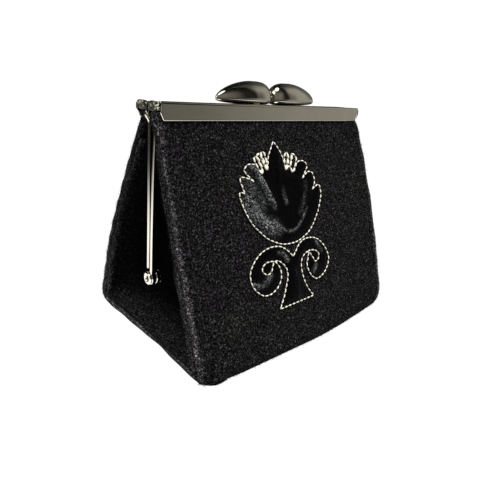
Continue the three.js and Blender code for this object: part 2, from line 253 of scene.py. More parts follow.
# noise on the piece's own coordinates, scale in patterns per metre
def addNoise(tree, place, scale, detail=3.0, rough=0.6, distortion=0.0):
    inputs = {"Vector": place, "Scale": scale, "Detail": detail, "Roughness": rough, "Distortion": distortion}
    return addNode(tree, "ShaderNodeTexNoise", inputs).outputs[0]


# a ramp of greys or colours at places from 0 to 1
def addRamp(tree, value, stops):
    ramp = addNode(tree, "ShaderNodeValToRGB", {"Fac": value})
    while len(ramp.color_ramp.elements) < len(stops):
        ramp.color_ramp.elements.new(0.5)
    for element, (place, colour) in zip(ramp.color_ramp.elements, stops):
        element.position = place
        element.color = asColour(colour)
    return ramp.outputs["Color"]


# two colours combined by a share
def addBlend(tree, way, share, first, second):
    inputs = {0: share, 6: asColour(first), 7: asColour(second)}
    return addNode(tree, "ShaderNodeMix", inputs, {"data_type": "RGBA", "blend_type": way}).outputs[2]


# one number worked out from two others
def addMath(tree, way, first, second=0.0):
    return addNode(tree, "ShaderNodeMath", {0: first, 1: second}, {"operation": way}).outputs[0]


# two patterns added, each by its own share
def addSum(tree, first, firstShare, second, secondShare):
    return addMath(tree, "ADD", addMath(tree, "MULTIPLY", first, firstShare),
                   addMath(tree, "MULTIPLY", second, secondShare))


# a normal that follows a pattern's height
def addBump(tree, height, strength, distance):
    inputs = {"Height": height, "Strength": strength, "Distance": distance}
    return addNode(tree, "ShaderNodeBump", inputs).outputs["Normal"]


feltLook = {"clump": 1650.0, "strand": 640.0, "speck": 2800.0, "tint": 140.0, "bump": 0.8}


# black wool felt: dark clumps of fibre about a millimetre across with pale crowns, curly strands, faint
# tints; the painted light and shade by place is half for plain felt, one at a cut edge (painted light, partly
# also wear) and nothing deep in a fold (painted shade)
def makeFelt():
    material, tree, shader = newMaterial("blackFelt")
    place = ownPlace(tree)
    clump = addNoise(tree, place, feltLook["clump"], 2.0, 0.6, 0.6)
    strand = addNoise(tree, place, feltLook["strand"], 2.0, 0.5, 1.8)
    speck = addNoise(tree, place, feltLook["speck"], 2.0, 0.6)
    tint = addNoise(tree, place, feltLook["tint"], 2.0, 0.5)
    wool = addRamp(tree, clump, [(0.38, 0.0004), (0.5, (0.0028, 0.0027, 0.0028)),
                                 (0.6, (0.0165, 0.016, 0.0165)), (0.72, (0.077, 0.074, 0.076))])
    line = addMath(tree, "ABSOLUTE", addMath(tree, "SUBTRACT", strand, 0.5))
    curl = addRamp(tree, line, [(0.0, (0.04, 0.039, 0.04)), (0.012, 0.009), (0.03, 0.0)])
    colour = addBlend(tree, "ADD", 0.6, wool, curl)
    hue = addRamp(tree, tint, [(0.35, (1.0, 0.95, 1.02)), (0.5, (1.0, 0.98, 0.99)), (0.65, (1.0, 1.0, 0.92))])
    colour = addBlend(tree, "MULTIPLY", 1.0, colour, hue)
    # painted shade: the felt darkened deep in the folds; painted light: lightened at the cut edges, partly
    # also wear
    shade = addRamp(tree, ownTone(tree), [(0.0, 0.06), (0.5, 1.0), (1.0, 8.5)])
    colour = addBlend(tree, "MULTIPLY", 1.0, colour, shade)
    height = addMath(tree, "ADD", clump, addMath(tree, "MULTIPLY", speck, 0.4))
    feed(tree, shader, {"Base Color": colour, "Normal": addBump(tree, height, feltLook["bump"], 0.0008),
                        "Roughness": 1.0, "Specular IOR Level": 0.03})
    return material


# loose fibres, each one shade by its own number, which also carries painted shade on the side pieces and
# painted light at the cut edges
def makeFibre():
    material, tree, shader = newMaterial("looseFibre")
    shade = addRamp(tree, ownTone(tree), [(0.0, (0.002, 0.0019, 0.002)), (0.65, (0.01, 0.0096, 0.01)),
                                          (1.0, (0.085, 0.081, 0.083))])
    feed(tree, shader, {"Base Color": shade, "Roughness": 0.85, "Specular IOR Level": 0.1})
    return material


satinLook = {"weave": 2500.0, "grain": 1300.0, "bump": 0.3}


# black satin with a short nap: near black, and specks of grey as painted sheen where the points carry it
def makeSatin():
    material, tree, shader = newMaterial("blackSatin")
    place = ownPlace(tree)
    weave = addNoise(tree, place, satinLook["weave"], 2.0, 0.6)
    grain = addNoise(tree, place, satinLook["grain"], 3.0, 0.7)
    speck = addRamp(tree, addSum(tree, weave, 0.6, grain, 0.4),
                    [(0.42, 0.002), (0.5, (0.03, 0.032, 0.033)), (0.59, (0.42, 0.425, 0.42))])
    dark = addRamp(tree, grain, [(0.35, (0.0006, 0.0006, 0.0008)), (0.75, (0.003, 0.003, 0.0036))])
    # painted sheen: grey specks mixed in where the points carry painted sheen
    feed(tree, shader, {"Base Color": addBlend(tree, "MIX", ownTone(tree), dark, speck),
                        "Roughness": addRamp(tree, weave, [(0.3, 0.36), (0.7, 0.55)]),
                        "Normal": addBump(tree, grain, satinLook["bump"], 0.0003),
                        "Specular IOR Level": 0.02})
    return material


nickelLook = {"rub": 2200.0, "rubStretch": (0.06, 1.0, 1.0), "patch": 90.0, "bump": 0.012}


# polished nickel: warm grey plate with faint rubbing marks and slightly duller patches
def makeNickel():
    material, tree, shader = newMaterial("polishedNickel")
    place = ownPlace(tree)
    stretch = addNode(tree, "ShaderNodeMapping", {"Vector": place, "Scale": nickelLook["rubStretch"]})
    rub = addNoise(tree, stretch.outputs["Vector"], nickelLook["rub"])
    patch = addNoise(tree, place, nickelLook["patch"])
    colour = addRamp(tree, patch, [(0.3, (0.64, 0.61, 0.545)), (0.7, (0.7, 0.665, 0.6))])
    feed(tree, shader, {"Base Color": colour, "Roughness": addRamp(tree, patch, [(0.35, 0.03), (0.7, 0.07)]),
                        "Normal": addBump(tree, rub, nickelLook["bump"], 0.0001), "Metallic": 1.0})
    return material


threadLook = {"ply": 2600.0, "worn": 420.0, "bump": 0.4}


# sewing thread: fine plies that turn about its length, with painted shade where it dips into the cloth:
# lightest on a stitch's crown, dark where it dips in
def makeThread(name, dark, light):
    material, tree, shader = newMaterial(name)
    place = ownPlace(tree)
    ply = addNoise(tree, place, threadLook["ply"], 2.0, 0.5)
    worn = addNoise(tree, place, threadLook["worn"], 2.0, 0.5)
    colour = addRamp(tree, addSum(tree, ply, 0.5, worn, 0.5), [(0.36, dark), (0.6, light)])
    # painted shade: the thread darkened towards a stitch's ends, where it dips into the cloth
    dipShade = addRamp(tree, ownTone(tree), [(0.0, (0.08, 0.075, 0.06)), (0.7, (0.55, 0.54, 0.5)), (0.92, 1.0)])
    feed(tree, shader, {"Base Color": addBlend(tree, "MULTIPLY", 1.0, colour, dipShade),
                        "Normal": addBump(tree, ply, threadLook["bump"], 0.0002),
                        "Roughness": 0.6, "Specular IOR Level": 0.2})
    return material


# glued paper cord: olive grey with dark pits
def makeCordPaper():
    material, tree, shader = newMaterial("gluedPaper")
    lump = addNoise(tree, ownPlace(tree), 800.0)
    colour = addRamp(tree, lump, [(0.4, (0.003, 0.003, 0.0015)), (0.49, (0.035, 0.034, 0.02)),
                                  (0.55, (0.19, 0.185, 0.115)), (0.62, (0.85, 0.83, 0.68))])
    feed(tree, shader, {"Base Color": colour, "Normal": addBump(tree, lump, 0.9, 0.0008),
                        "Roughness": 0.5, "Specular IOR Level": 0.4})
    return material


blackFelt = makeFelt()
looseFibre = makeFibre()
blackSatin = makeSatin()
polishedNickel = makeNickel()
creamThread = makeThread("creamThread", (0.6, 0.57, 0.46), (0.9, 0.88, 0.77))
seamThread = makeThread("seamThread", (0.006, 0.006, 0.007), (0.03, 0.029, 0.031))
gluedPaper = makeCordPaper()
print("materials made")

# felt body

bars = {"length": 100.0, "top": 86.3, "height": 5.1, "sheet": 0.6, "halfDepth": 6.5, "halfGap": 0.35,
        "middleX": -1.05, "middleY": -3.0, "clip": 1.5, "hem": 0.22, "hemUp": 0.3, "bends": (0.5, 0.45),
        "frontRise": (0.85, 0.35), "backDrop": 0.3, "leftCut": (1.1, 0.9)}
lipZ = bars["top"] - bars["height"]
body = {"felt": 1.9, "gap": 0.3, "top": 83.6, "footDepth": 78.9, "topHalfWidth": 50.0, "baseHalfWidth": 48.4,
        "middleX": 0.7, "swell": 1.0, "topDraw": 10.0, "barDraw": 1.1, "frontSpread": 0.9, "rightSpread": 0.4,
        "rightRound": 3.3, "frontIn": 0.3, "channelMid": 4.8, "frontBow": (1.6, -1.8), "backBow": (4.2, 3.0),
        "frontFold": 3.8, "frontFoldLeft": (0.6, -3.0), "frontFoldRight": 8.0, "backFold": 5.0,
        "seamDraw": (3.9, 0.6), "edgeRound": 0.5, "seamBulk": 0.8,
        "barRows": 3, "panelRows": 96, "foldRows": 14, "baseRows": 34, "columns": 84}
reliefSizes = {"swell": 0.3, "groove": 0.3, "grooveIn": 4.2, "broad": 0.2, "lump": 0.08}
halfFelt = body["felt"] / 2  # also the height of the base's middle


# how far the left edge is drawn in under the bar
def barDraw(z):
    return body["barDraw"] * softStep(73.5, 80.5, z)


# half the felt's width at a height, to the left (-1) or the right (1): a straight taper with a rounded
# swell, drawn in at the bar on the left, spread a little on the right, and rounded off at its right foot
def halfWidth(z, end):
    t = np.clip(z / lipZ, 0, 1)
    taper = mix(body["baseHalfWidth"], body["topHalfWidth"], t)
    spread = body["rightSpread"] * softStep(45, 70, z) * (1 - softStep(79, 82, z))
    right = spread - body["rightRound"] * (1 - softStep(0.9, 13, z))
    return taper + body["swell"] * np.sqrt(1 - (2 * t - 1) ** 4) + np.where(end < 0, -barDraw(z), right)


# the middle of the felt's width at a height: the frame's at the bar, its own further down
def middleX(z):
    near = np.clip(1 - (lipZ - z) / body["topDraw"], 0, 1) ** 2
    return mix(body["middleX"], bars["middleX"], near)


# how far inside the felt's cut edge a place lies
def edgeInward(x, z):
    off = x - middleX(z)
    return halfWidth(z, off) - np.abs(off)


# how far the seam draws the front panel's left edge back at a height, in a curve that is narrow at the foot
def seamDraw(x, z):
    tall, foot = body["seamDraw"]
    drawn = tall * (1 - np.clip(z / 55, 0, 1)) ** 1.2 + foot * (1 - softStep(0, 10, z))
    wide = mix(6.0, 20, softStep(2, 14, z))
    return drawn * np.clip((wide - body["topHalfWidth"] - x) / wide, 0, 1) ** 2


# the felt panel's middle on one side, -1 front or 1 back: straight out of the bar, then sloping out,
# with a bow
def panelY(side, x, z):
    drop = np.clip((lipZ - z) / (lipZ - halfFelt), 0, 1)
    slope = drop * drop * 1.05 / (drop + 0.05)
    left, right = body["frontBow"] if side < 0 else body["backBow"]
    bow = mix(left, right, (x + body["topHalfWidth"]) / (2 * body["topHalfWidth"]))
    top = bars["middleY"] + side * body["channelMid"]
    foot = side * (body["footDepth"] / 2 - halfFelt) + (body["frontIn"] if side < 0 else 0)
    return top + (foot - top) * slope + bow * 4 * drop * (1 - drop) + (seamDraw(x, z) if side < 0 else 0)


# the panel's lean: how far out it goes for each step up
def panelLean(side, x, z):
    return (panelY(side, x, z + 0.05) - panelY(side, x, z - 0.05)) / 0.1


# how far the fold at the foot reaches: even at the back; at the front tight on the left and wide on the right
def foldReach(side, x):
    if side > 0:
        return np.full_like(x, body["backFold"])
    soft, tight = body["frontFoldLeft"]
    left = soft * softStep(-34, -42, x) + tight * softStep(-43, -49.5, x)
    return body["frontFold"] + left + body["frontFoldRight"] * np.clip((x - 5) / 45, 0, 1) ** 1.5


# how far the felt's face stands off its even thickness: soft waves, a swell under the bar, a sewn groove
# by each side
def panelRelief(side, x, z):
    under = lipZ - z
    window = softStep(3, 12, under) * softStep(6, 18, z)
    broad = np.sin(x / 9.1 + z / 13.7 + side) + 0.8 * np.sin(x / 6.3 - z / 8.9 + 2.1 * side + 1)
    lump = np.sin(x / 2.3 + z / 3.1 + 0.5) * np.sin(x / 3.7 - z / 2.6)
    sewn = bell(edgeInward(x, z), reliefSizes["grooveIn"], 0.9) * softStep(2, 6, z) * softStep(0, 3, under)
    pucker = 1 + 0.35 * np.sin(z / 3.2 * 2 * math.pi)
    swell = bell(under, 4.5, 3.2) * softStep(0, 2.5, under)
    return (window * (reliefSizes["broad"] * broad + reliefSizes["lump"] * lump)
            - reliefSizes["groove"] * sewn * pucker + reliefSizes["swell"] * swell)


# how much a cut edge is lightened at a height, as painted light and partly wear: most at the foot, where it
# is worn
def edgeLightAndWear(z):
    return mix(1.0, 0.38, softStep(10, 78, z))


# extra thickness where the layers meet in a side seam, most at the foot
def seamBulk(z):
    return body["seamBulk"] * (1 - softStep(6, 38, z)) * softStep(2, 6, z)


# one side of the strip at places across: inside the bar, down the panel, and round a curved fold to the base
def sideLine(side, x, panelRows, foldRows):
    reach = foldReach(side, x)
    startZ = halfFelt + reach * 0.93
    heights = np.concatenate([np.linspace(body["top"], lipZ, body["barRows"] + 1)[:-1, None] + 0 * x,
                              mix(lipZ, startZ, np.linspace(0, 1, panelRows)[:, None] ** 1.15)])
    panel = np.stack([panelY(side, x, heights), heights], -1)
    start = panel[-1]
    corner = np.stack([start[:, 0] + panelLean(side, x, startZ) * (halfFelt - startZ), halfFelt + 0 * x], -1)
    end = corner - np.stack([side * reach, 0 * x], -1)
    t = (np.arange(foldRows) + 1)[:, None, None] / foldRows
    bend = (1 - t) ** 2 * start + 2 * t * (1 - t) * corner + t * t * end
    return np.concatenate([panel, bend])


# the whole strip, front top to back top: rows along it, columns across it, its edges slightly ragged,
# wider under the bar at the front and uneven at the left foot
def stripGrid():
    across = np.linspace(-1, 1, body["columns"])
    x = across * body["topHalfWidth"]
    front = sideLine(-1, x, body["panelRows"], body["foldRows"])
    back = sideLine(1, x, body["panelRows"], body["foldRows"])[::-1]
    t = (np.arange(body["baseRows"]) + 1)[:, None, None] / (body["baseRows"] + 1)
    line = np.concatenate([front, mix(front[-1], back[0], t), back])
    y, z = line[..., 0], line[..., 1]
    side = np.sign(np.arange(len(line)) - len(line) / 2)[:, None]
    ragged = 0.18 * np.sin(z / 3.9 + y / 5) + 0.12 * np.sin(z / 1.7 - y / 2.3 + 1)
    foot = (0.45 * bell(y, 27, 8) - 0.6 * bell(y, -2, 12)) * (1 - softStep(0.9, 7, z))
    spread = (barDraw(z) + body["frontSpread"] * softStep(66, 79, z)) * (side < 0)
    width = halfWidth(z, across) - body["edgeRound"] + ragged + (foot + spread) * (across < 0)
    return np.stack([middleX(z) + across * width, y, z], -1), side


stripMiddle, stripSide = stripGrid()
stripNormals = gridNormals(stripMiddle)
stripNormals *= np.sign(-stripNormals[30, 40, 1])  # out of the front panel
stripX, stripZ = stripMiddle[..., 0], stripMiddle[..., 2]
stripRelief = np.where(stripSide < 0, panelRelief(-1, stripX, stripZ), panelRelief(1, stripX, stripZ))
stripRelief = stripRelief * softStep(halfFelt + 0.4, halfFelt + 4, stripZ)
seamIn = edgeInward(stripX, stripZ)
stripBack = seamBulk(stripZ) * bell(seamIn, 0, 3)
stripShell = sheetShell(stripMiddle, stripNormals, body["felt"], body["edgeRound"], stripRelief, stripBack)
stripShell[0][..., 2] = np.maximum(stripShell[0][..., 2], 0)
# painted light at the cut edges, partly also wear, and painted shade along the sewn groove
stripLightAndShade = 0.5 + 0.5 * bell(np.clip(seamIn - 0.8, 0, None), 0, 0.6) * edgeLightAndWear(stripZ)
stripLightAndShade = stripLightAndShade - 0.06 * bell(seamIn, 4.5, 2.5)
feltBody = makePiece("feltBody", [stripShell], blackFelt, ["body_wrap"], tone=ringTone(stripLightAndShade))

# side pieces

gusset = {"depth": 22.0, "rise": 34.0, "top": 74.0, "rows": 64, "columns": 66, "legShare": 0.17,
          "loopWide": 0.94, "crease": 0.5, "worn": 0.46, "seamColumns": 6}


# the strip's inner side, one felt and the gap further in, kept as a table over places across and heights
def innerTable(side):
    x = np.linspace(-body["topHalfWidth"], body["topHalfWidth"], 41)
    line = sideLine(side, x, 60, 16)
    run = np.gradient(line, axis=0)
    normal = unit(np.stack([side * run[..., 1], -side * run[..., 0]], -1))
    inner = line + normal * (body["felt"] + body["gap"])
    heights = np.linspace(0, body["top"], 500)
    return x, heights, np.stack([np.interp(heights, c[::-1, 1], c[::-1, 0]) for c in inner.swapaxes(0, 1)])


innerTables = {-1: innerTable(-1), 1: innerTable(1)}


# the table read between its places
def innerFace(side, x, z):
    places, heights, table = innerTables[side]
    u = np.clip((x - places[0]) / (places[1] - places[0]), 0, len(places) - 1.001)
    v = np.clip((z - heights[0]) / (heights[1] - heights[0]), 0, len(heights) - 1.001)
    i, j = u.astype(int), v.astype(int)
    low = mix(table[i, j], table[i, j + 1], v - j)
    return mix(low, mix(table[i + 1, j], table[i + 1, j + 1], v - j), u - i)


# a side piece folds inwards: each level cut is a rounded loop between two straight legs, dying out at the
# base; its painted shade darkens it inwards into the fold, with painted light, partly also wear, lightest at
# the worn edges
def gussetGrid(end):
    t = np.linspace(0, 1, gusset["columns"])[None, :]
    rise = np.linspace(0, 1, gusset["rows"])[:, None]
    leg = gusset["legShare"]
    flank = np.clip(np.maximum(leg - t, t - 1 + leg) / leg, 0, 1)
    onLeg = flank > 0
    low = body["felt"] + body["gap"] + halfFelt
    z = mix(low, gusset["top"], rise) + 0 * t
    climb = np.clip((z - low) / gusset["rise"], 0, 1)
    depth = gusset["depth"] * np.sqrt(1 - (1 - climb) ** 2.2)
    edgeX = end * body["topHalfWidth"] + 0 * z
    opening = innerFace(1, edgeX, z) - innerFace(-1, edgeX, z)
    nose = np.minimum(depth * 0.8, opening / 2 * 1.15)
    turn = np.clip((t - leg) / (1 - 2 * leg), 0, 1) * math.pi - math.pi / 2
    side = np.where(t < 0.5, -1.0, 1.0)
    wide = np.where(onLeg, side * mix(gusset["loopWide"], 1, flank), gusset["loopWide"] * np.sin(turn))
    wide = wide * (1 - 1.5 * seamBulk(z) * flank / (opening / 2))
    inward = np.where(onLeg, (1 - flank) * (depth - nose), depth - nose + nose * np.cos(turn))
    crease = np.sin(z / 6.1 + 1) * np.sin(turn * 3 + z / 11) * np.where(onLeg, 0, np.cos(turn))
    inward = inward + gusset["crease"] * crease
    x = end * body["topHalfWidth"] * (1 - inward / halfWidth(z, end))
    front, back = innerFace(-1, x, z), innerFace(1, x, z)
    y = (front + back) / 2 + (back - front) / 2 * wide
    ragged = 0.2 * np.sin(z / 4.6 + 2 + side) + 0.12 * np.sin(z / 1.9 + 3 * side)
    reach = halfWidth(z, end) - body["edgeRound"] - inward + ragged * flank
    # painted shade darker inwards into the fold above the foot, a touch lighter at the foot; painted light,
    # partly wear, at the legs' cut edges
    above = softStep(low + 1.5, low + 8, z)
    foldShade = mix(softStep(0.8, 5, inward), 0.92 * softStep(2, 16, inward), softStep(0.45, 0.6, t)) * above
    worn = gusset["worn"] * bell(inward, 0, 0.9) * onLeg * edgeLightAndWear(z)
    tone = 0.5 * (1 - foldShade) + 0.05 * (1 - above) + worn
    return np.stack([middleX(z) + end * reach, y, z], -1), tone


gussetGrids = {}
for sideName, end in (("Left", -1), ("Right", 1)):
    grid, tone = gussetGrid(end)
    normals = gridNormals(grid)
    normals *= np.sign(normals[40, 33, 0] * end)  # out of the side
    gussetGrids[end] = (grid, normals)
    wave = 0.12 * np.sin(grid[..., 1] / 3.3 + grid[..., 2] / 4.1) * softStep(8, 20, grid[..., 2])
    column = np.arange(gusset["columns"])
    flank = np.clip(1 - np.minimum(column, column[::-1]) / gusset["seamColumns"], 0, 1)
    bulk = 0.6 * seamBulk(grid[..., 2]) * flank[None]
    shell = sheetShell(grid, normals, body["felt"], body["edgeRound"], wave + bulk, bulk)
    sidePiece = makePiece("feltSide" + sideName, [shell], blackFelt, ["gusset_" + sideName.lower()],
                          tone=ringTone(tone))
    flatSize = tuple(round(runLength(grid, axis).max() * metres, 4) for axis in (1, 0))

# loose fibres

fuzz = {"panel": 11000, "edge": 6500, "side": 2600, "short": 0.6, "long": 1.6, "thick": 0.034, "sunk": 0.15,
        "panelRise": (0.05, 0.75), "sideRise": (0.05, 0.6), "edgeRise": (0.1, 0.9), "edgeSpread": 0.9,
        "panelPale": 1.6, "sideFibreShade": 6.0, "edgeFibreLightAndWear": 0.6, "barRows": 5, "footRows": 4, "sideRows": 2}


# spindles of three sides: a root in the felt, a ring half way along, a tip, leaning along the face and off it
def fibreShell(roots, normals, rise):
    count = len(roots)
    spin = unit(chance.normal(size=(count, 3)))
    flatWay = unit(spin - normals * (spin * normals).sum(-1, keepdims=True))
    lift = chance.uniform(rise[0], rise[1], (count, 1))
    way = unit(flatWay * np.cos(lift) + normals * np.sin(lift))
    long = chance.uniform(fuzz["short"], fuzz["long"], (count, 1))
    thick = fuzz["thick"] * chance.uniform(0.6, 1.4, (count, 1))
    side = unit(np.cross(way, normals))
    over = np.cross(side, way)
    curl = over * long * chance.uniform(-0.08, 0.2, (count, 1))
    curl = curl + side * long * chance.uniform(-0.15, 0.15, (count, 1))
    root = roots - normals * fuzz["sunk"]
    middle = root + way * long * 0.5 + curl
    turn = turns(3)[:, None]
    ring = middle[:, None] + thick[:, None] * (side[:, None] * np.cos(turn) + over[:, None] * np.sin(turn))
    points = np.concatenate([root[:, None], ring, (root + way * long)[:, None]], 1)
    points[..., 2] = np.maximum(points[..., 2], 0.03)
    corners = np.array([[0, 1, 2], [0, 2, 3], [0, 3, 1], [4, 2, 1], [4, 3, 2], [4, 1, 3]])
    faces = (np.arange(count)[:, None, None] * 5 + corners).reshape(-1, 3)
    return points, [faces]


# places spread over a grid of points, read between its corners
def scatter(grid, normals, count, rows, columns):
    u = chance.uniform(rows[0], rows[1] - 1.001, count)
    v = chance.uniform(columns[0], columns[1] - 1.001, count)
    i, j = u.astype(int), v.astype(int)
    a, b = (u - i)[:, None], (v - j)[:, None]

    def read(field):
        return mix(mix(field[i, j], field[i, j + 1], b), mix(field[i + 1, j], field[i + 1, j + 1], b), a)

    return read(grid), unit(read(normals))


# fibres along a sheet's cut edge, spread over its thickness and pointing out to the left (-1) or right (1)
def edgeFibres(grid, normals, count, rows, columns, end):
    roots, ways = scatter(grid, normals, count, rows, columns)
    outward = end * alongX
    spread = chance.uniform(-fuzz["edgeSpread"], fuzz["edgeSpread"], (count, 1))
    roots = roots + ways * spread + outward * body["edgeRound"]
    return fibreShell(roots, unit(outward + ways * 0.3), fuzz["edgeRise"])


panelEnd = body["barRows"] + body["panelRows"] + body["foldRows"] - fuzz["footRows"]
stripFace = stripMiddle + stripNormals * (halfFelt + stripRelief)[..., None]
stripRows = len(stripMiddle)
fibreShells = []
fibrePales = []
for rows in ((fuzz["barRows"], panelEnd), (stripRows - panelEnd, stripRows - fuzz["barRows"])):
    roots, ways = scatter(stripFace, stripNormals, fuzz["panel"], rows, (0, body["columns"]))
    fibreShells.append(fibreShell(roots, ways, fuzz["panelRise"]))
    for columns, end in (((0, 2), -1), ((body["columns"] - 2, body["columns"]), 1)):
        fibreShells.append(edgeFibres(stripMiddle, stripNormals, fuzz["edge"] // 2, rows, columns, end))
    fibrePales += [fuzz["panelPale"], fuzz["edgeFibreLightAndWear"], fuzz["edgeFibreLightAndWear"]]
for end, (grid, normals) in gussetGrids.items():
    rows = (fuzz["sideRows"], gusset["rows"] - fuzz["sideRows"])
    roots, ways = scatter(grid + normals * halfFelt, normals, fuzz["side"], rows, (0, gusset["columns"]))
    fibreShells.append(fibreShell(roots, ways, fuzz["sideRise"]))
    for columns in ((0, 2), (gusset["columns"] - 2, gusset["columns"])):
        fibreShells.append(edgeFibres(grid, normals, fuzz["edge"] // 3, rows, columns, end))
    fibrePales += [fuzz["sideFibreShade"], fuzz["edgeFibreLightAndWear"], fuzz["edgeFibreLightAndWear"]]
# fibres on the side pieces darkened as painted shade of the folds; fibres at cut edges lightened as painted
# light, partly also wear
fibreTones = [np.repeat(chance.uniform(0, 1, len(points)) ** pale, 5)
              for (points, faces), pale in zip(fibreShells, fibrePales)]
for name, first, last in (("feltFuzzFront", 0, 3), ("feltFuzzBack", 3, 6), ("feltFuzzSides", 6, 12)):
    fibreTone = np.concatenate(fibreTones[first:last])
    makePiece(name, fibreShells[first:last], looseFibre, tone=fibreTone)

# satin flower and foot

motif = {"shift": -3.1, "scale": 0.97, "middle": 50.0, "lean": 0.945, "gap": 0.25, "satin": 0.5,
         "spacing": 0.45, "pucker": 0.12, "flowerPuff": 0.7, "footPuff": 0.55,
         "flowerFlat": (0.043, 0.038), "footFlat": (0.042, 0.024)}
# runs of points round each outline as (across, up); each run ends in a corner
flowerRuns = [
    [(-18.1, 60.3), (-19.2, 61.1), (-20.4, 61), (-20.5, 59.3), (-19.8, 56.6), (-18.6, 53.2), (-17.2, 50.4),
     (-15.7, 48.3), (-13.2, 45.9), (-10.8, 43.6), (-7.5, 41.7), (-3.4, 40.2), (0.7, 39.9), (4.5, 40.2),
     (8.1, 41.4), (11.3, 43), (14.8, 45.7), (18.3, 49.7), (20.5, 53.4), (21.9, 56.2), (22.1, 59.1),
     (21.3, 60.7), (19.3, 60.1), (17.4, 59)],
    [(17.4, 59), (19.1, 61.3), (19.5, 63.8), (18.6, 66), (16, 66), (12.7, 63.8)],
    [(12.7, 63.8), (15.5, 66.9), (16.7, 68.8), (15.3, 70.4), (13.3, 70.8), (11.3, 70.1), (8.8, 66.7)],
    [(8.8, 66.7), (4.4, 67.9)],
    [(4.4, 67.9), (4.1, 70.9), (3.3, 73.5), (1.9, 76.1), (-0.5, 78.8)],
    [(-0.5, 78.8), (-2.3, 75.8), (-3.9, 73.4), (-4.9, 70.1), (-5.5, 68.1)],
    [(-5.5, 68.1), (-8.4, 67.1)],
    [(-8.4, 67.1), (-10.3, 69.5), (-11.6, 70.5), (-13.6, 70.9), (-15.4, 70.5), (-16.7, 69.3), (-16.7, 68.2),
     (-14.8, 66.1), (-12.8, 64.4)],
    [(-12.8, 64.4), (-14.9, 65.5), (-17.6, 66.4), (-19, 66.3), (-19.3, 64.9), (-18.8, 63.2), (-18.1, 60.3)],
]
footRuns = [
    [(8.7, 17.8), (6.8, 20.4), (5.1, 23.7), (4.2, 27.2), (4.2, 30.6), (5.2, 33.2), (7.4, 35), (9.4, 35.2)],
    [(9.4, 35.2), (8.4, 32.6), (7.5, 30.4), (7.9, 27.9), (9.4, 25.4), (12, 23.9), (15.5, 24.7), (18.6, 26.8),
     (20.5, 29.4), (20.9, 31.9), (19.5, 35.6), (16.5, 38.8), (12.8, 40.3), (8.3, 40.4), (4.9, 39),
     (2.3, 36.6), (0.5, 34.8)],
    [(0.5, 34.8), (-1.5, 37.2), (-4.3, 39.2), (-7, 39.9), (-10.4, 39.9), (-14.2, 38.8), (-17.3, 36.9),
     (-19.9, 34.3), (-21.1, 32), (-21.1, 28.9), (-19.8, 26), (-17.6, 24), (-15.7, 23.2), (-12.9, 23.3),
     (-9.9, 24.6), (-7.6, 26.9), (-6.7, 29.4), (-6.9, 31.8), (-8, 33.8), (-9.1, 34.7)],
    [(-9.1, 34.7), (-6.7, 34.3), (-4.6, 32.5), (-3.5, 30.2), (-3.8, 27.5), (-5.1, 24.5), (-6.7, 21.6),
     (-8.3, 19.3), (-10, 16.9)],
    [(-10, 16.9), (8.7, 17.8)],
]
eyeRuns = [
    [(8.6, 35.2), (10.3, 35.6), (13.1, 35.1), (14.8, 33.7), (14.5, 31.8), (12.5, 30.8), (11.1, 32.6),
     (9.6, 35)],
    [(-9.1, 34.7), (-12.1, 34.9), (-14.4, 34.1), (-15.5, 32.6), (-15, 31.4), (-13.4, 30.5), (-11.5, 31.1),
     (-10.4, 32.9), (-9.4, 34.5)],
]
# rays of thread between the petals, sewn forth and back in loops that meet at their feet
rayRuns = [
    [(-8.8, 66.7), (-10, 68.7), (-10.8, 70.7), (-11.5, 72.6), (-11, 73.2), (-10.1, 73.3), (-9.2, 71.1),
     (-8.4, 69), (-8.7, 67)],
    [(-8.6, 66.8), (-8.1, 68.6), (-8.7, 71), (-9.7, 73.6), (-9.2, 74.3), (-8.2, 74.4), (-7.5, 72),
     (-6.8, 70), (-5.9, 68.1)],
    [(-5.9, 68.1), (-6.3, 70.3), (-7, 72.5), (-7.7, 74.4), (-7, 74.9), (-6.1, 74.7), (-5.6, 72.9),
     (-5.4, 70.9), (-5.8, 68.1)],
    [(4.5, 67.5), (4.4, 69.7), (4.5, 72), (5, 73.5), (6, 74.4), (6.5, 73.9), (6.5, 72.2), (5.7, 70),
     (4.7, 67.6)],
    [(6.6, 74), (6.9, 72.2), (6.2, 70), (5, 67.8)],
    [(5, 68.6), (5.8, 69), (7, 69), (7.9, 70.2), (8.7, 71.8), (9.1, 73.6)],
    [(7.9, 66.4), (7.4, 68.4), (7.6, 69.8), (8.4, 71.8), (8.9, 73.6), (10.3, 73.3), (11.1, 71.9),
     (10.4, 69.8), (9.1, 67.8), (8, 66.6)],
]
# folds of the satin: the ridge's height and half width, the painted sheen's share of grey, how far the
# painted sheen reaches on the left and on the right, and the fold's line
flowerFolds = [
    (0.8, 1.4, 0.78, 1.7, 0.35,
     [(-12.6, 69.9), (-10.2, 66.6), (-8.7, 63.5), (-7.5, 60.5), (-6, 57.4), (-5.1, 55.4)]),
    (0.3, 2.2, 0.75, 2.7, 2.6, [(-16.9, 57.2), (-15.3, 54), (-12.6, 50.6), (-9.6, 48), (-6.4, 46.7)]),
    (0.1, 2.0, 0.32, 1.9, 3.4, [(-16.6, 65), (-15.2, 60), (-12.6, 56)]),
    (0.5, 0.8, 0.72, 0.5, 0.4,
     [(-7.5, 48.9), (-5, 47.4), (-2.3, 45.5), (0.8, 44.6), (3.9, 45.3), (6.8, 47.3), (9.5, 50.2),
      (11.4, 52.4)]),
    (0.35, 1.0, 0.3, 0.8, 0.7, [(0.6, 61), (0.6, 58.3), (1.3, 55.4)]),
    (0.3, 1.2, 0.0, 1.0, 1.0, [(0.2, 73), (-0.6, 66), (-1.2, 60)]),
    (0.25, 1.4, 0.12, 1.0, 1.0, [(13.5, 62), (11, 56), (7.6, 50.6)]),
]
